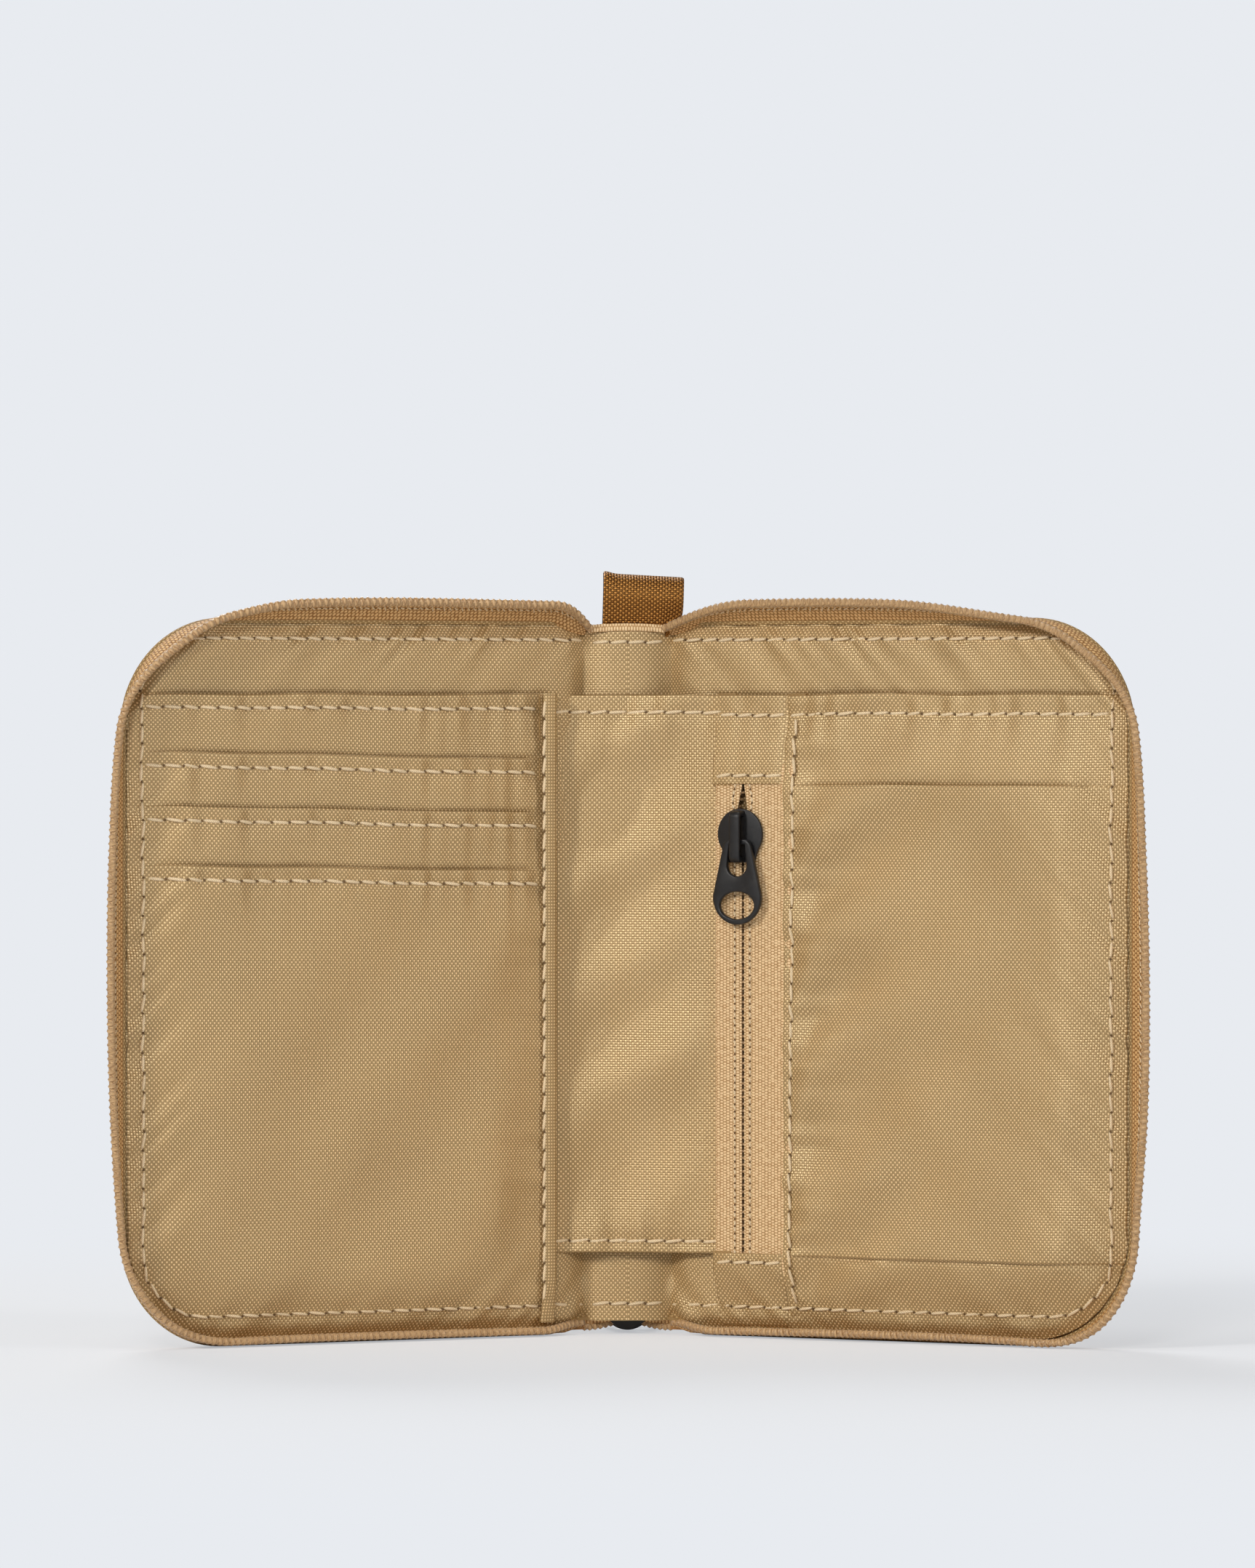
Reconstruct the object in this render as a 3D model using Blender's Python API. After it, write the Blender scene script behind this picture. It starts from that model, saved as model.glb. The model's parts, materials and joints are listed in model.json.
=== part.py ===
"""Zip-around travel wallet, standing open like a book.

Two padded leaves fold on a narrow spine. Each leaf is a shallow cover holding a foam pad and a lining,
with one half of the main zip standing up round its three free sides. The left leaf carries card slots,
the right leaf a zipped pocket under an open sleeve, and one loose panel bridges the two over the spine.

Sizes are in millimetres and become metres as each mesh is made. +X is the reader's right, +Y points
behind the spine and +Z up. A leaf has its own frame on its fold: u runs out from the fold, n is the depth
from the cover's outer face towards the reader, and z is the height above the floor.
"""

import math

import bmesh
import bpy
from mathutils import Vector

MM = 0.001

# Driving dimensions
LEAF_WIDTH = 103.5
LEAF_HEIGHT = 141.0
CORNER_RADIUS = 25.0
SPINE_WIDTH = 17.0
OPEN_ANGLE = math.radians(30.0)
GAP = 0.3
FABRIC = 0.35

# Depths through a leaf, from the outer face of the cover
COVER = (0.0, 0.9)
RIM_TOP = 3.05
FOAM = (1.2, 2.4)
LINING = (2.7, 3.05)
POCKET_BACK = (3.35, 3.7)
CARD_LAYERS = ((4.0, 4.3), (4.6, 4.9), (5.2, 5.5))
ZIP_COIL = (4.8, 5.6)
ZIP_TAPE = (5.9, 6.3)
POCKET_FRONT = (6.6, 6.95)
SLEEVE = (7.25, 7.6)
HINGE_DEPTH = (COVER[0] + COVER[1]) / 2

# Insets from the cover's edge, and where the layers start beside the fold
RIM_WALL = 0.9
LINING_INSET = 2.1
FOAM_INSET = 2.4
POCKET_INSET = 4.0
LAYER_START = 5.0
CORNER_STEPS = 7

# Main zip: tape standing on the seam, coil along its free edge
SEAM_INSET = 1.5
TAPE_THICKNESS = 0.5
TAPE_DEPTHS = (1.3, 3.4, 6.4)
TAPE_STEP = 5.0
COIL_DEPTH = 7.6
COIL_HALF_WIDTH = 1.2
COIL_HALF_HEIGHT = 0.9
COIL_PITCH = 2.0
COIL_WAIST = 0.68
COIL_LEAN = 1.15
FLARE_ENDS = 0.0
FLARE_TOP = 3.8
FLARE_TOP_CORNER = 0.8
FLARE_SIDE_TOP = 3.4
FLARE_SIDE = 5.6
FLARE_SIDE_FOOT = 3.2
FLARE_BOTTOM_CORNER = 2.8
FLARE_BOTTOM = 0.2
FLARE_RISE = 16.0

# Left leaf: card slots
CARD_PANEL_TOP = 126.2
CARD_SLOT_TOPS = (114.2, 103.7, 92.3)
CARD_SLOT_FEET = (52.0, 40.0, None)
CARD_EDGE = 9.7
BINDING = (9.0, 12.2)
BINDING_WALL = 0.3

# Right leaf: zipped pocket and open sleeve
POCKET_TOP = 126.2
ZIP_LEFT_EDGE = 13.0
ZIP_CENTRE = 19.5
ZIP_HALF_GAP = 0.8
ZIP_RIGHT_EDGE = 33.0
ZIP_OPENING = (16.6, 108.7)
ZIP_TUCK = 4.0
INNER_COIL = (1.0, 2.9)
FRONT_LEFT_EDGE = 28.8
SLEEVE_LEFT_EDGE = 31.0
SLEEVE_HEIGHTS = (16.3, 108.5)

# Zip slider: across, along the chain with the head positive, and out from the tape's middle plane
SLIDER_HEIGHT = 98.3
SLIDER_HEAD_RADIUS = 5.0
SLIDER_HEAD_CENTRE = 0.6
SLIDER_TAIL = (3.4, -5.0)
SLIDER_TOP_PLATE = (0.5, 1.1)
SLIDER_BACK_PLATE = (-2.1, -1.6)
SLIDER_FLANGE = (3.45, -0.5)
SLIDER_FLANGE_WALL = 0.55
SLIDER_FLANGE_ENDS = (-1.8, 2.6)
SLIDER_POST = (0.5, 2.2, 4.8)
BRIDGE_WIDTH = 2.3
BRIDGE_ENDS = (-5.0, 5.2)
BRIDGE_HEIGHTS = (2.8, 3.6)
BRIDGE_LEG = 1.0
PIVOT_ALONG = -0.9
PIVOT_OUT = 1.95
JOIN = 0.2

# Pull tab, measured from its pivot
PULL_LENGTH = 16.3
PULL_TOP_HALF = 3.2
PULL_SHOULDER = 1.6
PULL_FOOT_RADIUS = 5.35
PULL_THICKNESS = 1.1
PULL_BAR_HALF = 0.55
PULL_EYE = (1.75, 2.2, 6.8)
PULL_HOLE = (3.85, 2.7, -12.5)

# Spine: cover, lining, top binding, webbing loop and bridging panel
SPINE_FOOT = 2.9
SPINE_TOP = 139.6
SPINE_LINING_DEPTH = 4.1
SPINE_BINDING = (0.7, 0.9)
LOOP_EDGES = (-5.0, 11.0)
LOOP_TONGUE_RIGHT = 7.6
LOOP_TONGUE_FOOT = 126.0
LOOP_TONGUE_DEPTHS = (1.2, 3.3)
LOOP_HEIGHTS = (141.8, 150.4)
LOOP_HALF_DEPTH = 3.9
LOOP_WALL = 1.2
BRIDGE_PANEL_HEIGHTS = (16.3, 126.2)
BRIDGE_PANEL_LEFT = (8.6, 4.6)
BRIDGE_PANEL_RIGHT = (12.6, 5.0)
BRIDGE_PANEL_SAG = 1.5

# Parked end of the main zip on the back of the spine
END_TAB_HALF_WIDTH = 4.5
END_TAB_HEIGHTS = (3.6, 27.0)
END_TAB_SLOT = (0.8, 22.0)
END_TAB_THICKNESS = 0.4
END_TAB_STANDOFF = 2.45
PARKED_SLIDER_HEIGHT = 6.0
PARKED_PULL_ANGLE = math.radians(-111.0)


# Materials
def material(name, colour, roughness, metallic=0.0):
    made = bpy.data.materials.new(name)
    made.use_nodes = True
    shader = made.node_tree.nodes["Principled BSDF"]
    shader.inputs["Base Color"].default_value = (*colour, 1.0)
    shader.inputs["Roughness"].default_value = roughness
    shader.inputs["Metallic"].default_value = metallic
    return made


def make_finishes():
    return {
        "shell": material("shell_fabric", (0.50, 0.34, 0.16), 0.75),
        "lining": material("lining_fabric", (0.53, 0.36, 0.16), 0.6),
        "tape": material("zip_tape", (0.66, 0.43, 0.19), 0.8),
        "coil": material("zip_coil", (0.62, 0.42, 0.21), 0.45),
        "webbing": material("webbing", (0.17, 0.065, 0.016), 0.6),
        "foam": material("foam", (0.75, 0.72, 0.66), 0.9),
        "metal": material("black_metal", (0.022, 0.021, 0.02), 0.42, 0.6),
    }


# Mesh helpers
def finish(name, bm, parent, finish_material):
    """A named object from a bmesh in millimetres, facing out, under its parent frame."""
    bmesh.ops.scale(bm, vec=(MM, MM, MM), verts=bm.verts)
    bmesh.ops.recalc_face_normals(bm, faces=bm.faces)
    mesh = bpy.data.meshes.new(name)
    bm.to_mesh(mesh)
    bm.free()
    mesh.materials.append(finish_material)
    mesh.shade_smooth()
    mesh.set_sharp_from_angle(angle=math.radians(35.0))
    made = bpy.data.objects.new(name, mesh)
    bpy.context.scene.collection.objects.link(made)
    made.parent = parent
    return made


def frame_empty(name, parent, place, turn_x=0.0, turn_z=0.0):
    """An empty, in millimetres, that a moving group hangs on."""
    made = bpy.data.objects.new(name, None)
    bpy.context.scene.collection.objects.link(made)
    made.parent = parent
    made.location = Vector(place) * MM
    made.rotation_euler = (turn_x, 0.0, turn_z)
    return made


def prism(outline, place, low, high, holes=()):
    """A prism: a flat outline, with any holes, carried from low to high by place(across, up, depth)."""
    bm = bmesh.new()
    edges = []
    for loop in (outline, *holes):
        verts = [bm.verts.new(place(a, b, low)) for a, b in loop]
        edges += [bm.edges.new((verts[i - 1], v)) for i, v in enumerate(verts)]
    if holes:
        bmesh.ops.triangle_fill(bm, use_beauty=True, edges=edges)
    else:
        bm.faces.new(bm.verts[:])
    shift = Vector(place(0, 0, high)) - Vector(place(0, 0, low))
    lifted = bmesh.ops.extrude_face_region(bm, geom=bm.faces[:], use_keep_orig=True)
    moved = [v for v in lifted["geom"] if isinstance(v, bmesh.types.BMVert)]
    bmesh.ops.translate(bm, verts=moved, vec=shift)
    return bm


def sweep(sections):
    """A tube through closed sections that have equally many points, with flat ends."""
    bm = bmesh.new()
    rings = [[bm.verts.new(p) for p in section] for section in sections]
    for ring, after in zip(rings, rings[1:]):
        for i in range(len(ring)):
            bm.faces.new((ring[i - 1], ring[i], after[i], after[i - 1]))
    bm.faces.new(rings[0])
    bm.faces.new(rings[-1])
    return bm


def soften(bm, width, angle=40.0):
    """Bevels every edge sharper than the angle."""
    bm.normal_update()
    bmesh.ops.recalc_face_normals(bm, faces=bm.faces)
    sharp = [e for e in bm.edges if e.calc_face_angle() > math.radians(angle)]
    bmesh.ops.bevel(bm, geom=sharp, offset=width, segments=1, affect="EDGES", clamp_overlap=True)
    return bm


def combine(target, others, operation):
    """Joins the other objects to target, or cuts them from it, and removes them."""
    for other in others:
        step = target.modifiers.new("with_" + other.name, "BOOLEAN")
        step.operation = operation
        step.object = other
    bpy.context.view_layer.update()
    graph = bpy.context.evaluated_depsgraph_get()
    whole = bpy.data.meshes.new_from_object(target.evaluated_get(graph))
    target.modifiers.clear()
    target.data = whole
    for other in others:
        bpy.data.objects.remove(other)
    return target


def arc(centre, radius, start, end, steps):
    """Points on an arc from start to end degrees."""
    found = []
    for i in range(steps + 1):
        angle = math.radians(start + (end - start) * i / steps)
        found.append((centre[0] + radius * math.cos(angle), centre[1] + radius * math.sin(angle)))
    return found


def rectangle(left, right, foot, top):
    return [(left, foot), (right, foot), (right, top), (left, top)]


def band(line, thickness):
    """The outline of a strip of even thickness along an open line."""
    near, far = [], []
    for i, (x, y) in enumerate(line):
        before, after = line[max(i - 1, 0)], line[min(i + 1, len(line) - 1)]
        along = Vector((after[0] - before[0], after[1] - before[1])).normalized()
        near.append((x - along.y * thickness / 2, y + along.x * thickness / 2))
        far.append((x + along.y * thickness / 2, y - along.x * thickness / 2))
    return near + far[::-1]


# Leaf outlines
def leaf_place(side):
    """The leaf frame of one side, +1 right or -1 left: (u, z, n) to a point under the fold's empty."""
    return lambda u, z, n: (side * u, HINGE_DEPTH - n, z)


def leaf_outline(inset, start, top=None, foot=None):
    """Round-cornered leaf outline in u and z, inset from the cover's edge, cut off at a given top or foot."""
    radius = CORNER_RADIUS - inset
    right = LEAF_WIDTH - inset
    high = LEAF_HEIGHT - inset
    points = [(start, inset if foot is None else foot)]
    if foot is None:
        points += arc((right - radius, inset + radius), radius, -90, 0, CORNER_STEPS)
    else:
        points += [(right, foot)]
    if top is None:
        points += arc((right - radius, high - radius), radius, 0, 90, CORNER_STEPS)
        points += [(start, high)]
    elif top > high - radius:
        bend = math.degrees(math.asin((top - high + radius) / radius))
        points += arc((right - radius, high - radius), radius, 0, bend, CORNER_STEPS // 2)
        points += [(start, top)]
    else:
        points += [(right, top), (start, top)]
    return points


def leaf_plate(name, side, outline, depths, fold, finish_material):
    return finish(name, prism(outline, leaf_place(side), *depths), fold, finish_material)


# Leaves: cover, foam and lining
def leaf_cover(name, side, fold, finish_material):
    """The cover: a flat back rounded at the fold, with a rim turned up round its three free sides."""
    plate = finish(name, prism(leaf_outline(0.0, 0.0), leaf_place(side), *COVER), fold, finish_material)
    outer = leaf_outline(0.0, LAYER_START)
    inner = leaf_outline(RIM_WALL, LAYER_START)
    walls = prism(outer + inner[::-1], leaf_place(side), COVER[1] - 2 * JOIN, RIM_TOP)
    knuckle = arc((0.0, HINGE_DEPTH), HINGE_DEPTH, 90, 270, 6)
    edge = prism(knuckle, lambda u, n, z: (side * u, HINGE_DEPTH - n, z), 0.0, LEAF_HEIGHT)
    pieces = [finish(name + "_rim", walls, fold, finish_material)]
    pieces.append(finish(name + "_knuckle", edge, fold, finish_material))
    return combine(plate, pieces, "UNION")


# Main zip
def edge_point(distance, start):
    """A point on the cover's free edge and its outward direction, by distance from the spine's top end."""
    run = LEAF_WIDTH - CORNER_RADIUS - start
    rise = LEAF_HEIGHT - 2 * CORNER_RADIUS
    bend = CORNER_RADIUS * math.pi / 2
    inner = LEAF_WIDTH - CORNER_RADIUS
    if distance < run:
        return (start + distance, LEAF_HEIGHT), (0.0, 1.0)
    distance -= run
    if distance < bend:
        angle = math.pi / 2 - distance / CORNER_RADIUS
        out = (math.cos(angle), math.sin(angle))
        return (inner + CORNER_RADIUS * out[0], LEAF_HEIGHT - CORNER_RADIUS * (1 - out[1])), out
    distance -= bend
    if distance < rise:
        return (LEAF_WIDTH, LEAF_HEIGHT - CORNER_RADIUS - distance), (1.0, 0.0)
    distance -= rise
    if distance < bend:
        angle = -distance / CORNER_RADIUS
        out = (math.cos(angle), math.sin(angle))
        return (inner + CORNER_RADIUS * out[0], CORNER_RADIUS * (1 + out[1])), out
    return (inner - (distance - bend), 0.0), (0.0, -1.0)


def edge_length(start):
    straight = 2 * (LEAF_WIDTH - CORNER_RADIUS - start) + LEAF_HEIGHT - 2 * CORNER_RADIUS
    return straight + CORNER_RADIUS * math.pi


def flare(distance, start):
    """How far the zip tape leans out at a distance along the edge."""
    run = LEAF_WIDTH - CORNER_RADIUS - start
    rise = LEAF_HEIGHT - 2 * CORNER_RADIUS
    bend = CORNER_RADIUS * math.pi / 2
    keys = (
        (0.0, FLARE_ENDS),
        (FLARE_RISE, FLARE_TOP),
        (run - FLARE_RISE, FLARE_TOP),
        (run + bend / 4, FLARE_TOP_CORNER),
        (run + bend, FLARE_SIDE_TOP),
        (run + bend + rise / 2, FLARE_SIDE),
        (run + bend + rise, FLARE_SIDE_FOOT),
        (run + bend * 3 / 2 + rise, FLARE_BOTTOM_CORNER),
        (run + bend * 2 + rise, FLARE_BOTTOM),
        (2 * run + bend * 2 + rise, FLARE_ENDS),
    )
    for (low, before), (high, after) in zip(keys, keys[1:]):
        if distance <= high:
            share = (1 - math.cos(math.pi * max(0.0, distance - low) / (high - low))) / 2
            return before + (after - before) * share
    return FLARE_ENDS


def zip_tape(name, side, fold, finish_material):
    """Half of the main zip's tape: sewn inside the rim, then leaning out to carry the coil."""
    place = leaf_place(side)
    length = edge_length(LAYER_START)
    count = round(length / TAPE_STEP)
    sections = []
    for i in range(count + 1):
        distance = length * i / count
        (u, z), (out_u, out_z) = edge_point(distance, LAYER_START)
        lean = flare(distance, LAYER_START)
        offsets = (-SEAM_INSET, -SEAM_INSET, -SEAM_INSET + lean)
        inner = [(o - TAPE_THICKNESS / 2, n) for o, n in zip(offsets, TAPE_DEPTHS)]
        outer = [(o + TAPE_THICKNESS / 2, n) for o, n in zip(offsets, TAPE_DEPTHS)]
        sections.append([place(u + o * out_u, z + o * out_z, n) for o, n in inner + outer[::-1]])
    return finish(name, sweep(sections), fold, finish_material)


def ribbed(count, ring_at):
    """Sections of a ribbed bead: full size and waisted by turns."""
    sections = []
    for i in range(count + 1):
        sections.append(ring_at(i / count, COIL_WAIST if i % 2 else 1.0))
    return sections


def zip_coil(name, side, fold, finish_material):
    """Half of the main zip's coil: a ribbed bead along the free edge of its tape, one rib a pitch."""
    place = leaf_place(side)
    start = LAYER_START + COIL_PITCH / 4
    length = edge_length(start)

    def ring_at(share, size):
        (u, z), (out_u, out_z) = edge_point(length * share, start)
        offset = -SEAM_INSET + COIL_LEAN * flare(length * share, start)
        wide, high = size * COIL_HALF_WIDTH, size * COIL_HALF_HEIGHT
        ring = ((wide, 0.0), (0.0, high), (-wide, 0.0), (0.0, -high))
        return [place(u + (offset + o) * out_u, z + (offset + o) * out_z, COIL_DEPTH + n) for o, n in ring]

    return finish(name, sweep(ribbed(2 * round(length / COIL_PITCH), ring_at)), fold, finish_material)


def shared_leaf(side, fold, finishes):
    """The layers that both leaves have."""
    hand = "right" if side > 0 else "left"
    leaf_cover(hand + "_cover", side, fold, finishes["shell"])
    foam = leaf_outline(FOAM_INSET, LAYER_START + GAP)
    leaf_plate(hand + "_foam", side, foam, FOAM, fold, finishes["foam"])
    lining = leaf_outline(LINING_INSET, LAYER_START)
    leaf_plate(hand + "_lining", side, lining, LINING, fold, finishes["lining"])
    zip_tape(hand + "_zip_tape", side, fold, finishes["tape"])
    zip_coil(hand + "_zip_coil", side, fold, finishes["coil"])


# Left leaf: card slots
def card_pockets(fold, cloth):
    """A backing panel with three stepped card slots on it."""
    backing = leaf_outline(POCKET_INSET, CARD_EDGE, top=CARD_PANEL_TOP)
    leaf_plate("card_panel_back", -1, backing, POCKET_BACK, fold, cloth)
    names = ("card_slot_upper", "card_slot_middle", "card_slot_lower")
    for name, depths, top, foot in zip(names, CARD_LAYERS, CARD_SLOT_TOPS, CARD_SLOT_FEET):
        outline = leaf_outline(POCKET_INSET, CARD_EDGE, top=top, foot=foot)
        leaf_plate(name, -1, outline, depths, fold, cloth)


def card_binding(fold, cloth):
    """The binding folded over the card panel's inner edge, as long as the panel is high."""
    back = POCKET_BACK[0]
    front = CARD_LAYERS[-1][1] + GAP
    channel = [
        (BINDING[0], back),
        (BINDING[0], front + BINDING_WALL),
        (BINDING[1], front + BINDING_WALL),
        (BINDING[1], front),
        (BINDING[0] + BINDING_WALL, front),
        (BINDING[0] + BINDING_WALL, back),
    ]
    bm = prism(channel, lambda u, n, z: (-u, HINGE_DEPTH - n, z), POCKET_INSET, CARD_PANEL_TOP)
    finish("card_panel_binding", bm, fold, cloth)


# Right leaf: zipped pocket and sleeve
def pocket_front(fold, cloth):
    """The front of the zipped pocket: a shallow pan, open on its left and turned down elsewhere."""
    name = "zip_pocket_front"
    floor = POCKET_BACK[1] + GAP
    outline = leaf_outline(POCKET_INSET, FRONT_LEFT_EDGE, top=POCKET_TOP)
    pan = finish(name, prism(outline, leaf_place(1), floor, POCKET_FRONT[1]), fold, cloth)
    within = leaf_outline(POCKET_INSET + FABRIC, FRONT_LEFT_EDGE - 1.0, top=POCKET_TOP - FABRIC)
    hollow = finish(name + "_hollow", prism(within, leaf_place(1), floor - 1.0, POCKET_FRONT[0]), fold, cloth)
    combine(pan, [hollow], "DIFFERENCE")


def zip_end_cover(name, edge, end, fold, cloth):
    """The fabric tab over one end of the inner zip, turned down to the pocket's back at its far end."""
    floor = POCKET_BACK[1] + GAP
    wall = end - math.copysign(FABRIC, end - edge)
    profile = [
        (edge, POCKET_FRONT[1]),
        (end, POCKET_FRONT[1]),
        (end, floor),
        (wall, floor),
        (wall, POCKET_FRONT[0]),
        (edge, POCKET_FRONT[0]),
    ]
    bm = prism(profile, lambda z, n, u: (u, HINGE_DEPTH - n, z), ZIP_LEFT_EDGE, FRONT_LEFT_EDGE - GAP)
    finish(name, bm, fold, cloth)


def inner_tapes(fold, tape):
    """The two tapes of the inner zip; the left one turns down at its outer edge to the pocket's back."""
    foot, top = ZIP_OPENING[0] - ZIP_TUCK, ZIP_OPENING[1] + ZIP_TUCK
    floor = POCKET_BACK[1] + GAP
    inner = ZIP_CENTRE - ZIP_HALF_GAP
    profile = [
        (ZIP_LEFT_EDGE, floor),
        (ZIP_LEFT_EDGE + FABRIC, floor),
        (ZIP_LEFT_EDGE + FABRIC, ZIP_TAPE[0]),
        (inner, ZIP_TAPE[0]),
        (inner, ZIP_TAPE[1]),
        (ZIP_LEFT_EDGE, ZIP_TAPE[1]),
    ]
    bm = prism(profile, lambda u, n, z: (u, HINGE_DEPTH - n, z), foot, top)
    finish("inner_tape_left", bm, fold, tape)
    right = rectangle(ZIP_CENTRE + ZIP_HALF_GAP, ZIP_RIGHT_EDGE, foot, top)
    leaf_plate("inner_tape_right", 1, right, ZIP_TAPE, fold, tape)


def inner_coil(name, hand, fold, coil):
    """One half of the inner zip's coil, a ribbed strip on the hidden side of its tape."""
    place = leaf_place(1)
    foot = ZIP_OPENING[0] - ZIP_TUCK / 2
    length = ZIP_OPENING[1] - ZIP_OPENING[0] + ZIP_TUCK
    middle = ZIP_CENTRE + hand * (INNER_COIL[0] + INNER_COIL[1]) / 2
    depth = (ZIP_COIL[0] + ZIP_COIL[1]) / 2

    def ring_at(share, size):
        wide = size * (INNER_COIL[1] - INNER_COIL[0]) / 2
        high = size * (ZIP_COIL[1] - ZIP_COIL[0]) / 2
        ring = ((wide, 0.0), (0.0, high), (-wide, 0.0), (0.0, -high))
        return [place(middle + a, foot + length * share, depth + c) for a, c in ring]

    finish(name, sweep(ribbed(2 * round(length / COIL_PITCH), ring_at)), fold, coil)


def zipped_pocket(fold, finishes):
    """The zipped pocket, from its back to the sleeve in front of it."""
    cloth = finishes["lining"]
    back = leaf_outline(POCKET_INSET, ZIP_LEFT_EDGE, top=POCKET_TOP)
    leaf_plate("zip_pocket_back", 1, back, POCKET_BACK, fold, cloth)
    pocket_front(fold, cloth)
    zip_end_cover("zip_top_tab", ZIP_OPENING[1], POCKET_TOP, fold, cloth)
    zip_end_cover("zip_bottom_tab", ZIP_OPENING[0], POCKET_INSET, fold, cloth)
    inner_tapes(fold, finishes["tape"])
    inner_coil("inner_coil_left", -1, fold, finishes["coil"])
    inner_coil("inner_coil_right", 1, fold, finishes["coil"])
    sleeve = leaf_outline(POCKET_INSET, SLEEVE_LEFT_EDGE, top=SLEEVE_HEIGHTS[1], foot=SLEEVE_HEIGHTS[0])
    leaf_plate("sleeve_band", 1, sleeve, SLEEVE, fold, cloth)


# Zip slider and pull tab
def slider_place(across, along, out):
    return (across, -out, along)


def slider_outline(shrink):
    """Round head and narrower tail of a slider plate."""
    half, foot = SLIDER_TAIL[0] - shrink, SLIDER_TAIL[1] + shrink
    head = arc((0.0, SLIDER_HEAD_CENTRE), SLIDER_HEAD_RADIUS - shrink, -38, 218, 18)
    return head + [(-half, foot + 1.6), (-half + 0.8, foot), (half - 0.8, foot), (half, foot + 1.6)]


def bridge_profile():
    """The bridge over a slider, along the chain and out from the tape, standing in the top plate."""
    low, high = BRIDGE_ENDS
    under, over = BRIDGE_HEIGHTS
    base = SLIDER_TOP_PLATE[0] + JOIN
    outer = over - under + BRIDGE_LEG / 2
    inner = outer - BRIDGE_LEG / 2
    profile = [(low, base)]
    profile += arc((low + outer, over - outer), outer, 180, 90, 4)
    profile += arc((high - outer, over - outer), outer, 90, 0, 4)
    profile += [(high, base), (high - BRIDGE_LEG, base)]
    profile += arc((high - BRIDGE_LEG - inner, under - inner), inner, 0, 90, 3)
    profile += arc((low + BRIDGE_LEG + inner, under - inner), inner, 90, 180, 3)
    return profile + [(low + BRIDGE_LEG, base)]


def slider(name, frame, metal):
    """A zip slider: two plates joined by a post in the head, side flanges, and a bridge for the pull."""
    plate = soften(prism(slider_outline(0.0), slider_place, *SLIDER_TOP_PLATE), 0.15)
    top = finish(name, plate, frame, metal)
    root = SLIDER_BACK_PLATE[0] + JOIN
    shapes = [prism(slider_outline(0.4), slider_place, *SLIDER_BACK_PLATE)]
    half, foot, head = SLIDER_POST
    shapes.append(prism(rectangle(-half, half, foot, head), slider_place, root, SLIDER_TOP_PLATE[1] - JOIN))
    inner, rise = SLIDER_FLANGE
    for hand in (-1, 1):
        near, far = sorted((hand * inner, hand * (inner + SLIDER_FLANGE_WALL)))
        shapes.append(prism(rectangle(near, far, *SLIDER_FLANGE_ENDS), slider_place, root, rise))
    bridge = prism(bridge_profile(), lambda b, c, a: (a, -c, b), -BRIDGE_WIDTH / 2, BRIDGE_WIDTH / 2)
    shapes.append(bridge)
    made = [finish(f"{name}_{i}", bm, frame, metal) for i, bm in enumerate(shapes)]
    return combine(top, made, "UNION")


def pull_tab(name, frame, metal):
    """A flat pull tab hanging from its pivot, with an eye for the bridge and a hole in its wide foot."""
    top, shoulder = PULL_BAR_HALF, PULL_BAR_HALF - PULL_SHOULDER
    outline = [(PULL_TOP_HALF, shoulder), (PULL_TOP_HALF - PULL_SHOULDER, top)]
    outline += [(-PULL_TOP_HALF + PULL_SHOULDER, top), (-PULL_TOP_HALF, shoulder)]
    outline += arc((0.0, PULL_FOOT_RADIUS - PULL_LENGTH), PULL_FOOT_RADIUS, 175, 365, 18)
    top_half, low_half, reach = PULL_EYE
    eye = [(-top_half, -top), (top_half, -top)]
    eye += arc((0.0, low_half - reach), low_half, 0, -180, 8)
    wide, high, centre = PULL_HOLE
    hole = [(wide * a, centre + high * b) for a, b in arc((0.0, 0.0), 1.0, 0, 345, 23)]
    bm = prism(outline, slider_place, -PULL_THICKNESS / 2, PULL_THICKNESS / 2, holes=(eye, hole))
    return finish(name, soften(bm, 0.18, 60.0), frame, metal)


# Spine
def fold_to_spine(side, u, n):
    """A leaf point in the spine's plan view, with the leaf at its stored angle."""
    depth = n - HINGE_DEPTH
    x = SPINE_WIDTH / 2 + u * math.cos(OPEN_ANGLE) - depth * math.sin(OPEN_ANGLE)
    return side * x, -u * math.sin(OPEN_ANGLE) - depth * math.cos(OPEN_ANGLE)


def spine_strips(root, finishes):
    """Cover strip between the folds, lining strip from leaf to leaf, and the binding on the top edge."""
    half = SPINE_WIDTH / 2 - HINGE_DEPTH - GAP
    strip = rectangle(-half, half, SPINE_FOOT, SPINE_TOP)
    finish("spine_cover", prism(strip, leaf_place(1), *COVER), root, finishes["shell"])
    middle = HINGE_DEPTH - SPINE_LINING_DEPTH
    side_depth = (LINING[0] + LINING[1]) / 2
    line = [fold_to_spine(-1, LAYER_START - GAP, side_depth), (-half, middle)]
    line += [(half, middle), fold_to_spine(1, LAYER_START - GAP, side_depth)]
    bm = prism(band(line, FABRIC), lambda x, y, z: (x, y, z), SPINE_FOOT, SPINE_TOP - GAP)
    finish("spine_lining", bm, root, finishes["lining"])
    deep, high = SPINE_BINDING
    bead = [(middle + deep * a, SPINE_TOP + high * (1 + b)) for a, b in arc((0.0, 0.0), 1.0, 0, 330, 11)]
    bm = prism(bead, lambda y, z, x: (x, y, z), -half, half)
    finish("spine_top_binding", bm, root, finishes["tape"])


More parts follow.
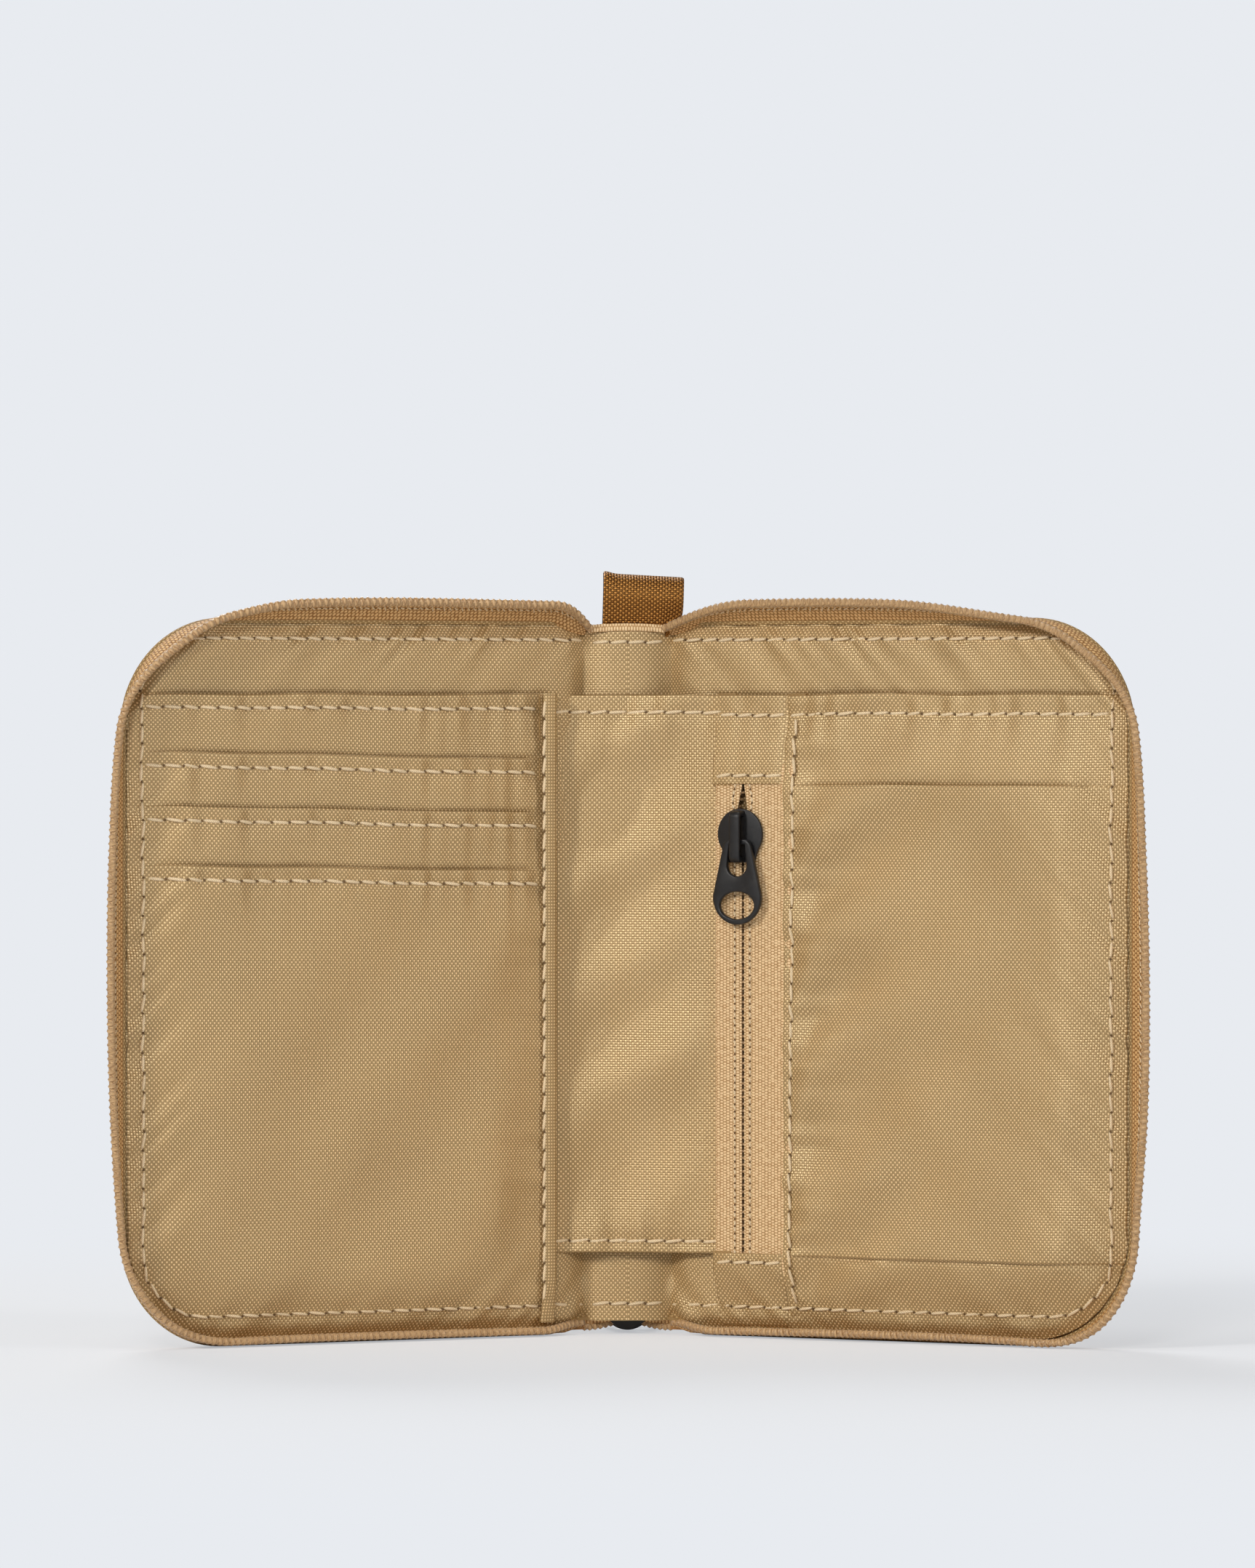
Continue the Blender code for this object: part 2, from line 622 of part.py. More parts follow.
def webbing_loop(root, webbing):
    """A flat webbing loop standing over the spine's top, on a tongue sewn between cover and lining."""
    name = "webbing_loop"
    foot, top = LOOP_HEIGHTS
    middle = HINGE_DEPTH - sum(LOOP_TONGUE_DEPTHS) / 2
    centre = (foot + top) / 2
    rounds = arc((0.0, 0.0), 1.0, 0, 340, 17)
    squared = [(math.copysign(abs(a) ** 0.7, a), math.copysign(abs(b) ** 0.8, b)) for a, b in rounds]
    reach = (top - foot) / 2
    outer = [(middle + LOOP_HALF_DEPTH * a, centre + reach * b) for a, b in squared]
    deep, tall = LOOP_HALF_DEPTH - LOOP_WALL, reach - LOOP_WALL
    within = [(middle + deep * a, centre + tall * b) for a, b in squared]
    ring = prism(outer, lambda y, z, x: (x, y, z), *LOOP_EDGES, holes=(within,))
    near, far = (HINGE_DEPTH - n for n in LOOP_TONGUE_DEPTHS)
    tongue = rectangle(far, near, LOOP_TONGUE_FOOT, foot + LOOP_WALL / 2)
    stem = prism(tongue, lambda y, z, x: (x, y, z), LOOP_EDGES[0] + JOIN, LOOP_TONGUE_RIGHT)
    loop = finish(name, ring, root, webbing)
    combine(loop, [finish(name + "_tongue", stem, root, webbing)], "UNION")


def bridge_panel(root, cloth):
    """The loose panel hung from leaf to leaf in front of the spine, sagging a little towards it."""
    left = Vector(fold_to_spine(-1, *BRIDGE_PANEL_LEFT))
    right = Vector(fold_to_spine(1, *BRIDGE_PANEL_RIGHT))
    line = []
    for i in range(9):
        share = i / 8
        x, y = left.lerp(right, share)
        line.append((x, y + BRIDGE_PANEL_SAG * math.sin(math.pi * share)))
    bm = prism(band(line, FABRIC), lambda x, y, z: (x, y, z), *BRIDGE_PANEL_HEIGHTS)
    finish("bridge_panel", bm, root, cloth)


def zip_end_tab(root, tape):
    """The closed end of the main zip, stood off the spine's back, split below for the slider's post."""
    name = "zip_end_tab"
    foot, top = END_TAB_HEIGHTS
    slot, slot_top = END_TAB_SLOT
    half = END_TAB_HALF_WIDTH
    outline = [(-half, foot), (-slot, foot), (-slot, slot_top), (slot, slot_top), (slot, foot), (half, foot)]
    outline += [(half, top), (-half, top)]
    back = HINGE_DEPTH + END_TAB_STANDOFF
    depths = (back - END_TAB_THICKNESS / 2, back + END_TAB_THICKNESS / 2)
    tab = finish(name, prism(outline, lambda x, z, y: (x, y, z), *depths), root, tape)
    turned = rectangle(-half + JOIN, half - JOIN, top - 3 * END_TAB_THICKNESS, top - JOIN)
    seat = prism(turned, lambda x, z, y: (x, y, z), HINGE_DEPTH + GAP, back)
    combine(tab, [finish(name + "_seat", seat, root, tape)], "UNION")


# Assembly
def stand_on_origin(root):
    """Moves the whole wallet so that its bounding box stands centred on the origin."""
    bpy.context.view_layer.update()
    corners = []
    for piece in bpy.data.objects:
        if piece.type == "MESH":
            corners += [piece.matrix_world @ v.co for v in piece.data.vertices]
    low = [min(c[i] for c in corners) for i in range(3)]
    high = [max(c[i] for c in corners) for i in range(3)]
    root.location = (-(low[0] + high[0]) / 2, -(low[1] + high[1]) / 2, -low[2])


def build():
    for old in list(bpy.data.objects):
        bpy.data.objects.remove(old)
    finishes = make_finishes()
    root = frame_empty("wallet_frame", None, (0, 0, 0))
    left = frame_empty("left_fold_frame", root, (-SPINE_WIDTH / 2, 0, 0), turn_z=OPEN_ANGLE)
    right = frame_empty("right_fold_frame", root, (SPINE_WIDTH / 2, 0, 0), turn_z=-OPEN_ANGLE)
    spine_strips(root, finishes)
    webbing_loop(root, finishes["webbing"])
    bridge_panel(root, finishes["lining"])
    zip_end_tab(root, finishes["tape"])
    shared_leaf(-1, left, finishes)
    card_pockets(left, finishes["lining"])
    card_binding(left, finishes["lining"])
    shared_leaf(1, right, finishes)
    zipped_pocket(right, finishes)
    tape_depth = HINGE_DEPTH - (ZIP_TAPE[0] + ZIP_TAPE[1]) / 2
    inner = frame_empty("inner_slider_frame", right, (ZIP_CENTRE, tape_depth, SLIDER_HEIGHT))
    slider("inner_slider", inner, finishes["metal"])
    pivot = (0.0, -PIVOT_OUT, PIVOT_ALONG)
    pull_tab("inner_pull", frame_empty("inner_pull_frame", inner, pivot), finishes["metal"])
    parked_place = (0.0, HINGE_DEPTH + END_TAB_STANDOFF, PARKED_SLIDER_HEIGHT)
    parked = frame_empty("main_slider_frame", root, parked_place, turn_x=math.pi)
    slider("main_slider", parked, finishes["metal"])
    parked_pull = frame_empty("main_pull_frame", parked, pivot, turn_x=PARKED_PULL_ANGLE)
    pull_tab("main_pull", parked_pull, finishes["metal"])
    stand_on_origin(root)


build()
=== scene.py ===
"""The looks of a zip-around travel wallet, built over its CAD frame.

Sizes are in millimetres until a point becomes a vertex. A leaf has its own frame on its fold: u runs out from
the fold, z is the height above the floor, and n is the depth from the cover's outer face towards the viewer.
"""

import json
import math
import random

import bmesh
import bpy
from mathutils import Matrix, Vector, noise


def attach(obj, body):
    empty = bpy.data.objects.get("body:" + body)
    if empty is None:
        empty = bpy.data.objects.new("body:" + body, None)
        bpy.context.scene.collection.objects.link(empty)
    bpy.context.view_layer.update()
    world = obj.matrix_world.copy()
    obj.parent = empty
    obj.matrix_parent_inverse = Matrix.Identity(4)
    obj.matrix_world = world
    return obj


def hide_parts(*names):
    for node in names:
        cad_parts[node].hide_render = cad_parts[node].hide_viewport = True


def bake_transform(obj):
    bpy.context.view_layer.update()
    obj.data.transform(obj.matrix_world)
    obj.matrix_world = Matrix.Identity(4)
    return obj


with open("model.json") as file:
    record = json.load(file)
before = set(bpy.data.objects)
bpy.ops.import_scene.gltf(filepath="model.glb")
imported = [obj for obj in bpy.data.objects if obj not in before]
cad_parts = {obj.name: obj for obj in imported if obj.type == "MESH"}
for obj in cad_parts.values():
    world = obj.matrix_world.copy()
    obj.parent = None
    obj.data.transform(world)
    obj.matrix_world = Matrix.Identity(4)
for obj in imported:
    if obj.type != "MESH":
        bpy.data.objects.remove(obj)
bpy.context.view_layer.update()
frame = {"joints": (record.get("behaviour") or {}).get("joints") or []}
scatter = random.Random(7)

MM = 0.001
FOLD = next(j for j in frame["joints"] if j["name"] == "right_fold")["pos_m"]
HINGE_X = FOLD[0] / MM
HINGE_Y = FOLD[1] / MM
HINGE_DEPTH = 0.45
OPEN_ANGLE = math.radians(30.0)
SIDES = {-1: "left", 1: "right"}

# Leaf
LEAF_WIDTH = 103.5
LEAF_HEIGHT = 141.0
CORNER_RADIUS = 22.0
CORNER_STEPS = 14
CLOTH = 0.35
SHELL_CLOTH = 0.7
BIAS_CLOTH = 0.3
CLOTH_STEP = 1.1
HEM_RADIUS = 0.28
HEM_DEPTH = 4.0
EDGE_ROUND = 1.6
CROWN = 0.6
TUCK = (1.6, 15.0)
CREASE = 0.85
LAYER_CREASE = 0.2
CREASE_SIZE = (15.0, 34.0)
CREASE_TURNS = ((0.75, 1.0), (-0.6, 0.75))
MOUTH = 0.26
MOUTH_REACH = 0.6
MOUTH_ROWS = (-0.5, -0.1, 0.15, 0.35, 0.6, 0.9, 1.3)
EDGE_FALL = (1.5, 0.8, 4.2)
EDGE_COLUMNS = (5.5, 4.0, 2.5, 1.4, 0.6, 0.15, 0.0)
SWAY_SEEDS = {-1: 2, 1: 20}

# Spine
SPINE_HEIGHTS = (2.6, 139.6)
SPINE_LINING = 2.7
SPINE_VALLEY = 1.5
FOLD_SINK = 1.5
FOLD_REACH = 3.2
BRIDGE_HEIGHTS = (16.3, 126.2)
BRIDGE_LEFT = (9.6, 3.6)
BRIDGE_RIGHT = (13.6, 4.2)
BRIDGE_SAG = (2.8, 4.4)
BRIDGE_SKEW = 0.65
BRIDGE_REST = 1.5
BRIDGE_CLOTH = 31.0
BRIDGE_SEAMS = (2.3, 3.4)

# Depths of the layers at the outer seam and in the open
LINING = 3.0
LINING_INSET = 0.9
PANEL_INSET = 1.3
CARD_SEAM = (3.2, 3.35, 3.5, 3.65)
CARD_HELD = (4.0, 4.3, 4.6, 4.9)
CARD_DEPTHS = (4.5, 5.2, 5.8, 6.4)
CARD_LIP = 0.4
CARD_TOPS = (126.2, 114.2, 103.7, 92.3)
CARD_FEET = (None, 62.0, 50.0, None)
CARD_EDGE = 9.9
SLOT_SLANT = 0.02
SLOT_SEAM = 2.6
BINDING = (8.9, 12.0)
BINDING_DEPTHS = (3.5, 5.6)
BINDING_ROUND = 0.9
BINDING_SEAM = 12.6

# Right leaf
POCKET_TOP = 126.2
POCKET_DEPTHS = (3.6, 4.7, 6.6)
POCKET_SEAM = 3.8
SLEEVE_LIFT = 0.5
SLEEVE_HEIGHTS = (16.3, 108.5)
SLEEVE_LEFT = 31.6
FRONT_LEFT = 28.8
ZIP_EDGES = (13.0, 31.0)
ZIP_CENTRE = 19.5
ZIP_OPENING = (16.6, 108.7)
ZIP_TAPE = 6.1
ZIP_GAP = 0.28
ZIP_PARTING = (103.2, 1.25)
ZIP_ROW = 1.7
ZIP_SEAM_TOP = 31.3
INNER_TAPE_CLOTH = 0.4
INNER_COIL_DEPTH = 1.2
INNER_COIL_HALF = (1.05, 0.45)
INNER_COIL_WIRE = 0.3
INNER_COIL_CORE = 0.45
TAB_UNDER = 1.1
TAB_SEAMS = (1.8, 1.7)
TAB_ROW = (13.8, 28.4)

# Main zip
ZIP_START = 0.6
EDGE_RUN = LEAF_WIDTH - CORNER_RADIUS - ZIP_START
EDGE_RISE = LEAF_HEIGHT - 2 * CORNER_RADIUS
EDGE_BEND = CORNER_RADIUS * math.pi / 2
EDGE_LENGTH = 2 * EDGE_RUN + EDGE_RISE + 2 * EDGE_BEND
SEAM_INSET = 1.5
TAPE_ROOT = (-0.8, 1.5)
TAPE_EDGE = 6.7
TAPE_WIDTH = 6.5
TAPE_TURN_IN = 2.2
TAPE_BOW = 0.35
TAPE_CLOTH = 0.45
TAPE_YARN = (1.1, 0.85)
FINE_YARN = (0.72, 0.56)
COIL_PITCH = 1.33
COIL_HALF = (0.5, 0.3)
COIL_WIRE = 0.56
COIL_CORE = 0.7
COIL_LEAN = 1.15
COIL_TURN = 12
FLARE_TOP = 3.8
FLARE_TOP_CORNER = 0.1
FLARE_FADE = {-1: 14.0, 1: 28.0}
FLARE_SIDE_TOP = 3.9
FLARE_UPPER = 5.3
FLARE_SIDE = {-1: 5.6, 1: 5.9}
FLARE_LOWER = {-1: 5.1, 1: 5.6}
FLARE_SIDE_FOOT = {-1: 3.6, 1: 4.0}
FLARE_BOTTOM_CORNER = {-1: 1.7, 1: 3.4}
FLARE_BOTTOM = 0.3
TOP_RISE = {-1: 10.0, 1: 21.0}
FOOT_DIVE = 13.0
FOOT_RISE = 0.8
RIM_PROFILE = ((-1.0, 1.9), (-0.6, 2.3), (-0.25, 2.35), (0.0, 2.05), (0.05, 1.4))
RIM_SHORT = 6
STUB_LENGTH = 8.0
STUB_END = 2.3
STUB_HEIGHTS = (1.4, 2.4)
STUB_ROOT = (1.4, 0.4)
STUB_TEETH = Vector((0.0, -0.6, -0.8))
ZIP_SEWN = 0.8

# Stitching
STITCH_PITCH = 3.7
STITCH_LENGTH = 2.9
STITCH_RADIUS = 0.34
STITCH_TILT = 0.16
STITCH_LIFT = 0.1
ROW_END = 99.0
EDGE_STITCH = 3.9
FOOT_STITCH = 5.9
SEAM_CORNER = 13.0
SEAM_DIP = 0.28
SEAM_REACH = 1.3
PUCKER = 0.1
PUCKER_REACH = 3.0
GATHER = 1.0
GATHER_REACH = 8.0
GATHER_SIZE = 3.3
DRAG = 0.65
POCKET_DRAG = 1.15
DRAG_SLOPE = 0.7
DRAG_PITCH = 24.0
DRAG_REACH = 30.0

# Slider and pull, in the slider's own frame: across, along the chain, out from the tape
SLIDER_HEIGHT = 98.3
SLIDER_HEAD = (5.0, 0.6)
SLIDER_TAIL = (3.4, -5.0)
SLIDER_PLATES = ((0.5, 1.15), (-2.1, -1.6))
SLIDER_FLANGE = (3.45, 4.0, -1.8, 2.6)
BAR_WIDTH = 2.3
BAR_ENDS = (-5.0, 5.2)
BAR_TOPS = (2.8, 3.6)
BAR_LEG = 1.0
PIVOT = (-0.9, 1.95)
PULL_LENGTH = 16.3
PULL_TOP = (3.2, 1.9, 0.55)
PULL_FOOT = 5.35
PULL_THICKNESS = 1.1
PULL_EYE = (1.75, 2.2, 6.8)
PULL_HOLE = (3.85, 2.7, -12.5)
PARKED = (2.9, 6.0)
PARKED_ANGLE = math.radians(-111.0)

# Loop and the parked end of the main zip
LOOP_EDGES = (-5.0, 11.0)
LOOP_TOP = 150.0
LOOP_TURN = 144.6
LOOP_BULGE = 3.4
LOOP_FOOT = 134.0
LOOP_SEWN = 6.5
LOOP_TILT = 0.055
LOOP_LEAN = 0.03
LOOP_CLOTH = 1.1
END_TAB = (4.5, 3.6, 27.0)

# Photograph
PHOTO_SIZE = (1725, 2156)
FOCAL_PIXELS = 13397.0
CAMERA_DISTANCE = 1.928
CAMERA_HEIGHT = 0.118
CAMERA_TILT = 65.0
BACKDROP = (0.807, 0.831, 0.871)
FLOOR_FADE = (0.10, 0.45)


# Shared shapes
def on_leaf(side, u, z, n):
    """A leaf point in the world, in metres."""
    depth = n - HINGE_DEPTH
    x = side * (HINGE_X + u * math.cos(OPEN_ANGLE) - depth * math.sin(OPEN_ANGLE))
    y = HINGE_Y - u * math.sin(OPEN_ANGLE) - depth * math.cos(OPEN_ANGLE)
    return Vector((x, y, z)) * MM


def on_spine(x, z, depth):
    """A point in front of the hinge plane, in metres; a negative depth is behind it."""
    return Vector((x, HINGE_Y - depth, z)) * MM


def leaf_normal(side):
    """The direction that a leaf's inside faces."""
    return (on_leaf(side, 0, 0, 1) - on_leaf(side, 0, 0, 0)).normalized()


def smooth(t):
    t = min(max(t, 0.0), 1.0)
    return t * t * (3 - 2 * t)


def mix(a, b, share):
    return a + (b - a) * share


def steps(low, high, step):
    count = max(1, math.ceil((high - low) / step))
    return [mix(low, high, i / count) for i in range(count + 1)]


def arc(centre, radius, start, end, count):
    found = []
    for i in range(count + 1):
        angle = math.radians(mix(start, end, i / count))
        found.append((centre[0] + radius * math.cos(angle), centre[1] + radius * math.sin(angle)))
    return found


def lengths(line):
    """Length along a line of points up to each of them."""
    found = [0.0]
    for before, after in zip(line, line[1:]):
        found.append(found[-1] + math.dist(before, after))
    return found


def distance_in(u, z, right, foot, top, radius):
    """Distance in from an outline that is round-cornered on the side away from the fold."""
    across = max(u - right + radius, 0.0)
    along = max(z - top + radius, foot + radius - z, 0.0)
    if across and along:
        return radius - math.hypot(across, along)
    return min(right - u, top - z, z - foot)


def edge_distance(u, z):
    """Distance in from a leaf's free edge."""
    return distance_in(u, z, LEAF_WIDTH, 0.0, LEAF_HEIGHT, CORNER_RADIUS)


def outer_u(z, inset):
    """Where the outline at an inset from the leaf's edge crosses a height."""
    radius = CORNER_RADIUS - inset
    along = max(z - LEAF_HEIGHT + CORNER_RADIUS, CORNER_RADIUS - z, 0.0)
    return LEAF_WIDTH - CORNER_RADIUS + math.sqrt(max(0.0, radius**2 - min(along, radius) ** 2))


def with_mouths(heights, tops):
    """Adds rows to a panel where the cloth falls back behind the open edges in front of it."""
    extra = [top + rise for top in tops for rise in MOUTH_ROWS]
    kept = [z for z in heights if all(abs(z - more) > 0.3 for more in extra)]
    return sorted(kept + extra)


def leaf_heights(foot, top, inset):
    """Row heights of a panel, closer together where a corner of the leaf flattens out."""
    bend = [math.cos(math.pi / 2 * i / CORNER_STEPS) for i in range(CORNER_STEPS + 1)]
    low, high = CORNER_RADIUS, LEAF_HEIGHT - CORNER_RADIUS
    below = steps(foot or 0.0, max(low, (foot or 0.0) + 1), CLOTH_STEP)
    if foot is None:
        below = [low - (CORNER_RADIUS - inset) * b for b in bend]
    above = steps(min(high, (top or LEAF_HEIGHT) - 1), top or LEAF_HEIGHT, CLOTH_STEP)
    if top is None:
        above = [high + (CORNER_RADIUS - inset) * b for b in bend[::-1]]
    return below[:-1] + steps(below[-1], above[0], CLOTH_STEP) + above[1:]


def sway(u, seed):
    """How far the upper edge of a sewn panel wanders up or down."""
    return 0.45 * noise.noise(Vector((u / 21.0, seed * 3.7, 0.3)))


def slant(side, u, z):
    """How far the card slots, which are sewn on a little askew, are lifted."""
    if side > 0:
        return 0.0
    return SLOT_SLANT * (u - LEAF_WIDTH / 2) * smooth((CARD_TOPS[0] - z) / 9) * smooth((z - 40) / 40)


def ripple(u, z, seed, size):
    """Slow unevenness of cloth, from -1 to 1."""
    return noise.noise(Vector((u / size, z / size, seed * 5.3)))


def creases(u, z, seed):
    """Soft slanting folds of sewn cloth, from about -1 to 1."""
    height = 0.0
    for turn, share in CREASE_TURNS:
        across = u * math.cos(turn) + z * math.sin(turn)
        along = z * math.cos(turn) - u * math.sin(turn)
        place = Vector((across / CREASE_SIZE[0], along / CREASE_SIZE[1], seed * 5.3 + turn))
        height += share * noise.noise(place)
    return height


def drag_folds(along, z, reach):
    """Folds that a tight seam drags slantwise up into the cloth beside it, mostly sunk into it."""
    phase = 2 * math.pi * (z - DRAG_SLOPE * along) / DRAG_PITCH
    wander = 1.6 * noise.noise(Vector((along / 30.0, z / 30.0, 4.1)))
    return (math.cos(phase + wander) - 0.4) * smooth(along / 5) * math.exp(-((along / reach) ** 2))


def seam_dip(distance, along):
    """How far a row of stitches draws the cloth in, with puckers at the stitches and gathers beside them."""
    groove = SEAM_DIP * math.exp(-((distance / SEAM_REACH) ** 2))
    folds = PUCKER * math.exp(-abs(distance) / PUCKER_REACH) * math.cos(2 * math.pi * along / STITCH_PITCH)
    gather = noise.noise(Vector((along / GATHER_SIZE, distance / 30.0, 1.7)))
    return groove + folds + GATHER * math.exp(-abs(distance) / GATHER_REACH) * gather


# Mesh makers
def settle(piece):
    """Makes a piece's modifiers part of its mesh."""
    bpy.context.view_layer.update()
    graph = bpy.context.evaluated_depsgraph_get()
    done = bpy.data.meshes.new_from_object(piece.evaluated_get(graph))
    piece.modifiers.clear()
    piece.data = done
    return piece


def new_piece(name, verts, faces, uvs, finishes, marks=None):
    """An object with cloth coordinates, in metres, in a UV map of its own."""
    mesh = bpy.data.meshes.new(name)
    mesh.from_pydata(verts, [], faces)
    layer = mesh.uv_layers.new(name="cloth")
    flat = []
    for loop in mesh.loops:
        flat.extend(uvs[loop.vertex_index])
    layer.data.foreach_set("uv", flat)
    for finish in finishes:
        mesh.materials.append(finish)
    if marks:
        mesh.polygons.foreach_set("material_index", marks)
    mesh.shade_smooth()
    piece = bpy.data.objects.new(name, mesh)
    bpy.context.scene.collection.objects.link(piece)
    return piece


def rows_of(stations, columns, place):
    """Rows of a sheet, one a station; place(station, column) gives a point and its cloth coordinates."""
    return [[place(station, column) for column in columns] for station in stations]


def grid_faces(rows, columns, closed=False):
    faces = []
    for i in range(rows - 1):
        for j in range(columns if closed else columns - 1):
            a, b = i * columns + j, i * columns + (j + 1) % columns
            faces.append((a, b, b + columns, a + columns))
    return faces


def dress(piece, body, nodes):
    """Hides the CAD nodes that a piece stands for and hangs it on its body; given a side's number instead, it
    only bakes the piece's transform.
    """
    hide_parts(*nodes)
    if body not in SIDES:
        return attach(piece, body)
    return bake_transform(piece)


def declare(uvs, faces):
    """Works out a sheet's flat size and walks its faces; nothing is kept."""
    across, along = zip(*uvs)
    flat = (max(across) - min(across), max(along) - min(along))
    for face in faces:
        p, q, r, s = (uvs[i] for i in face)


def sheet(name, rows, finish, facing, body, nodes=(), thickness=CLOTH, held=None, rounded=False):
    """Cloth through rows of (point, cloth coordinates in mm), thickened behind the side that it faces."""
    verts = [point for row in rows for point, _ in row]
    uvs = [(a * MM, b * MM) for row in rows for _, (a, b) in row]
    faces = grid_faces(len(rows), len(rows[0]))
    wide = len(rows[0]) - 1
    a, b, c, _ = (verts[i] for i in faces[len(rows) // 2 * wide + wide // 2])
    if (b - a).cross(c - b).dot(Vector(facing)) < 0:
        faces = [face[::-1] for face in faces]
    piece = new_piece(name, verts, faces, uvs, [FINISHES[finish]])
    thick = piece.modifiers.new("thickness", "SOLIDIFY")
    thick.thickness = thickness * MM
    thick.offset = -1.0
    settle(piece)
    piece.data.set_sharp_from_angle(angle=math.radians(50))
    if held:
        declare(uvs, faces)
    if rounded:
        piece.modifiers.new("smoother", "SUBSURF")
        settle(piece)
    dress(piece, body, nodes)


def tube(points, sides_to, radius, sides=6, start=0):
    """Rings round a line of points, each turned towards its own side vector; flat ends."""
    verts, uvs = [], []
    for i, (point, run) in enumerate(zip(points, lengths(points))):
        before, after = points[max(i - 1, 0)], points[min(i + 1, len(points) - 1)]
        along = (after - before).normalized()
        side = (sides_to[i] - along * sides_to[i].dot(along)).normalized()
        other = along.cross(side)
        for k in range(sides):
            angle = 2 * math.pi * k / sides
            verts.append(point + (side * math.cos(angle) + other * math.sin(angle)) * radius * MM)
            uvs.append((run, radius * MM * angle))
    faces = grid_faces(len(points), sides, closed=True)
    faces.append(tuple(range(sides))[::-1])
    faces.append(tuple(range(len(verts) - sides, len(verts))))
    return verts, [tuple(start + i for i in face) for face in faces], uvs


def hem(edge, inward):
    """Stations of a folded hem from its hidden end to the front: place, depth behind, place unfolded."""
    middle = edge + inward * HEM_RADIUS
    found = [(edge + inward * reach, 2 * HEM_RADIUS) for reach in (HEM_DEPTH, HEM_DEPTH / 2)]
    for turn, back in arc((0.0, HEM_RADIUS), HEM_RADIUS, 90, -90, 6):
        found.append((middle - inward * turn, back))
    return [(a, back, 2 * edge - a if back > HEM_RADIUS else a) for a, back in found]


def hemmed(heights, foot=None, top=None):
    """Stations over a panel's heights, with a folded hem at its foot, at its top or at both."""
    line = [(z, 0.0, z) for z in heights]
    if top is not None:
        line = [station for station in line if station[0] < top - HEM_RADIUS] + hem(top, -1)[::-1]
    if foot is not None:
        line = hem(foot, 1) + [station for station in line if station[0] > foot + HEM_RADIUS]
    return line


def panel(name, node, side, left, foot, top, depth, hems=(), mouths=()):
    """A cloth panel of a leaf, from its left edge to the leaf's outer seam, with its folded hems."""
    heights = with_mouths(leaf_heights(foot, top, PANEL_INSET), mouths)
    stations = hemmed(heights, foot if "foot" in hems else None, top if "top" in hems else None)
    widest = LEAF_WIDTH - PANEL_INSET - left
    columns = [(share, 0.0, 0.0, 0.0) for share in steps(0.0, 1.0, CLOTH_STEP / widest)]
    if "left" in hems:
        columns = [(0.0, a, back, run - a) for a, back, run in hem(0.0, 1)] + columns[1:]

    def place(station, column):
        (z, back, run), (share, offset, fold, shift) = station, column
        right = outer_u(z, PANEL_INSET)
        u = mix(left, right, share) + offset
        wander = sway(u, SWAY_SEEDS[side]) * smooth((z - heights[-1] + 26) / 26) * smooth((right - u) / 8)
        lifted = z + wander + slant(side, u, z)
        return on_leaf(side, u, lifted, depth(u, z) - back - fold), (u + shift, run)

    rows = rows_of(stations, columns, place)
    sheet(name, rows, "lining", leaf_normal(side), SIDES[side] + "_leaf", [node], held="stretched")


# Materials
class Wiring:
    """The nodes of a material or a world, and short ways to wire them."""

    def __init__(self, owner):
        owner.use_nodes = True
        self.tree = owner.node_tree

    def wire(self, value, socket):
        if isinstance(value, bpy.types.NodeSocket):
            self.tree.links.new(value, socket)
        elif socket.type == "RGBA":
            socket.default_value = (*value, 1.0)
        else:
            socket.default_value = value

    def fill(self, node, **sockets):
        for name, value in sockets.items():
            self.wire(value, node.inputs[name.replace("_", " ")])
        return node

    def put(self, kind, **sockets):
        return self.fill(self.tree.nodes.new(kind), **sockets)

    def scaled(self, value, low, high, to_low=0.0, to_high=1.0):
        node = self.put("ShaderNodeMapRange", Value=value)
        node.interpolation_type = "SMOOTHSTEP"
        self.fill(node, From_Min=low, From_Max=high, To_Min=to_low, To_Max=to_high)
        return node.outputs["Result"]

    def shaders(self, factor, a, b):
        node = self.put("ShaderNodeMixShader", Fac=factor)
        self.wire(a, node.inputs[1])
        self.wire(b, node.inputs[2])
        return node.outputs["Shader"]


class Finish(Wiring):
    """A material of the wallet under construction."""

    def __init__(self, name, roughness, **sockets):
        self.material = bpy.data.materials.new(name)
        super().__init__(self.material)
        self.shader = self.fill(self.tree.nodes["Principled BSDF"], Roughness=roughness, **sockets)

    def math(self, operation, a, b=0.0):
        node = self.put("ShaderNodeMath")
        node.operation = operation
        self.wire(a, node.inputs[0])
        self.wire(b, node.inputs[1])
        return node.outputs[0]

    def cloth(self):
        """Cloth coordinates across and along, in metres."""
        uv = self.put("ShaderNodeUVMap")
        uv.uv_map = "cloth"
        split = self.put("ShaderNodeSeparateXYZ", Vector=uv.outputs["UV"])
        return uv.outputs["UV"], split.outputs["X"], split.outputs["Y"]

    def wave(self, value, pitch):
        """Sine of a coordinate in metres, one half wave a pitch in mm."""
        return self.math("SINE", self.math("MULTIPLY", value, math.pi / (pitch * MM)))

    def noise(self, vector, scale, detail=2.0):
        return self.put("ShaderNodeTexNoise", Vector=vector, Scale=scale, Detail=detail).outputs["Fac"]

    def blend(self, factor, a, b):
        node = self.put("ShaderNodeMix")
        node.data_type = "RGBA"
        return self.fill(node, Factor=factor, A=a, B=b).outputs["Result"]

    def colour(self, value):
        self.wire(value, self.shader.inputs["Base Color"])

    def bump(self, height, depth):
        """Relief from a height of 0 to 1, as deep as depth in mm."""
        node = self.put("ShaderNodeBump", Height=height, Distance=depth * MM, Strength=1.0)
        self.wire(node.outputs["Normal"], self.shader.inputs["Normal"])


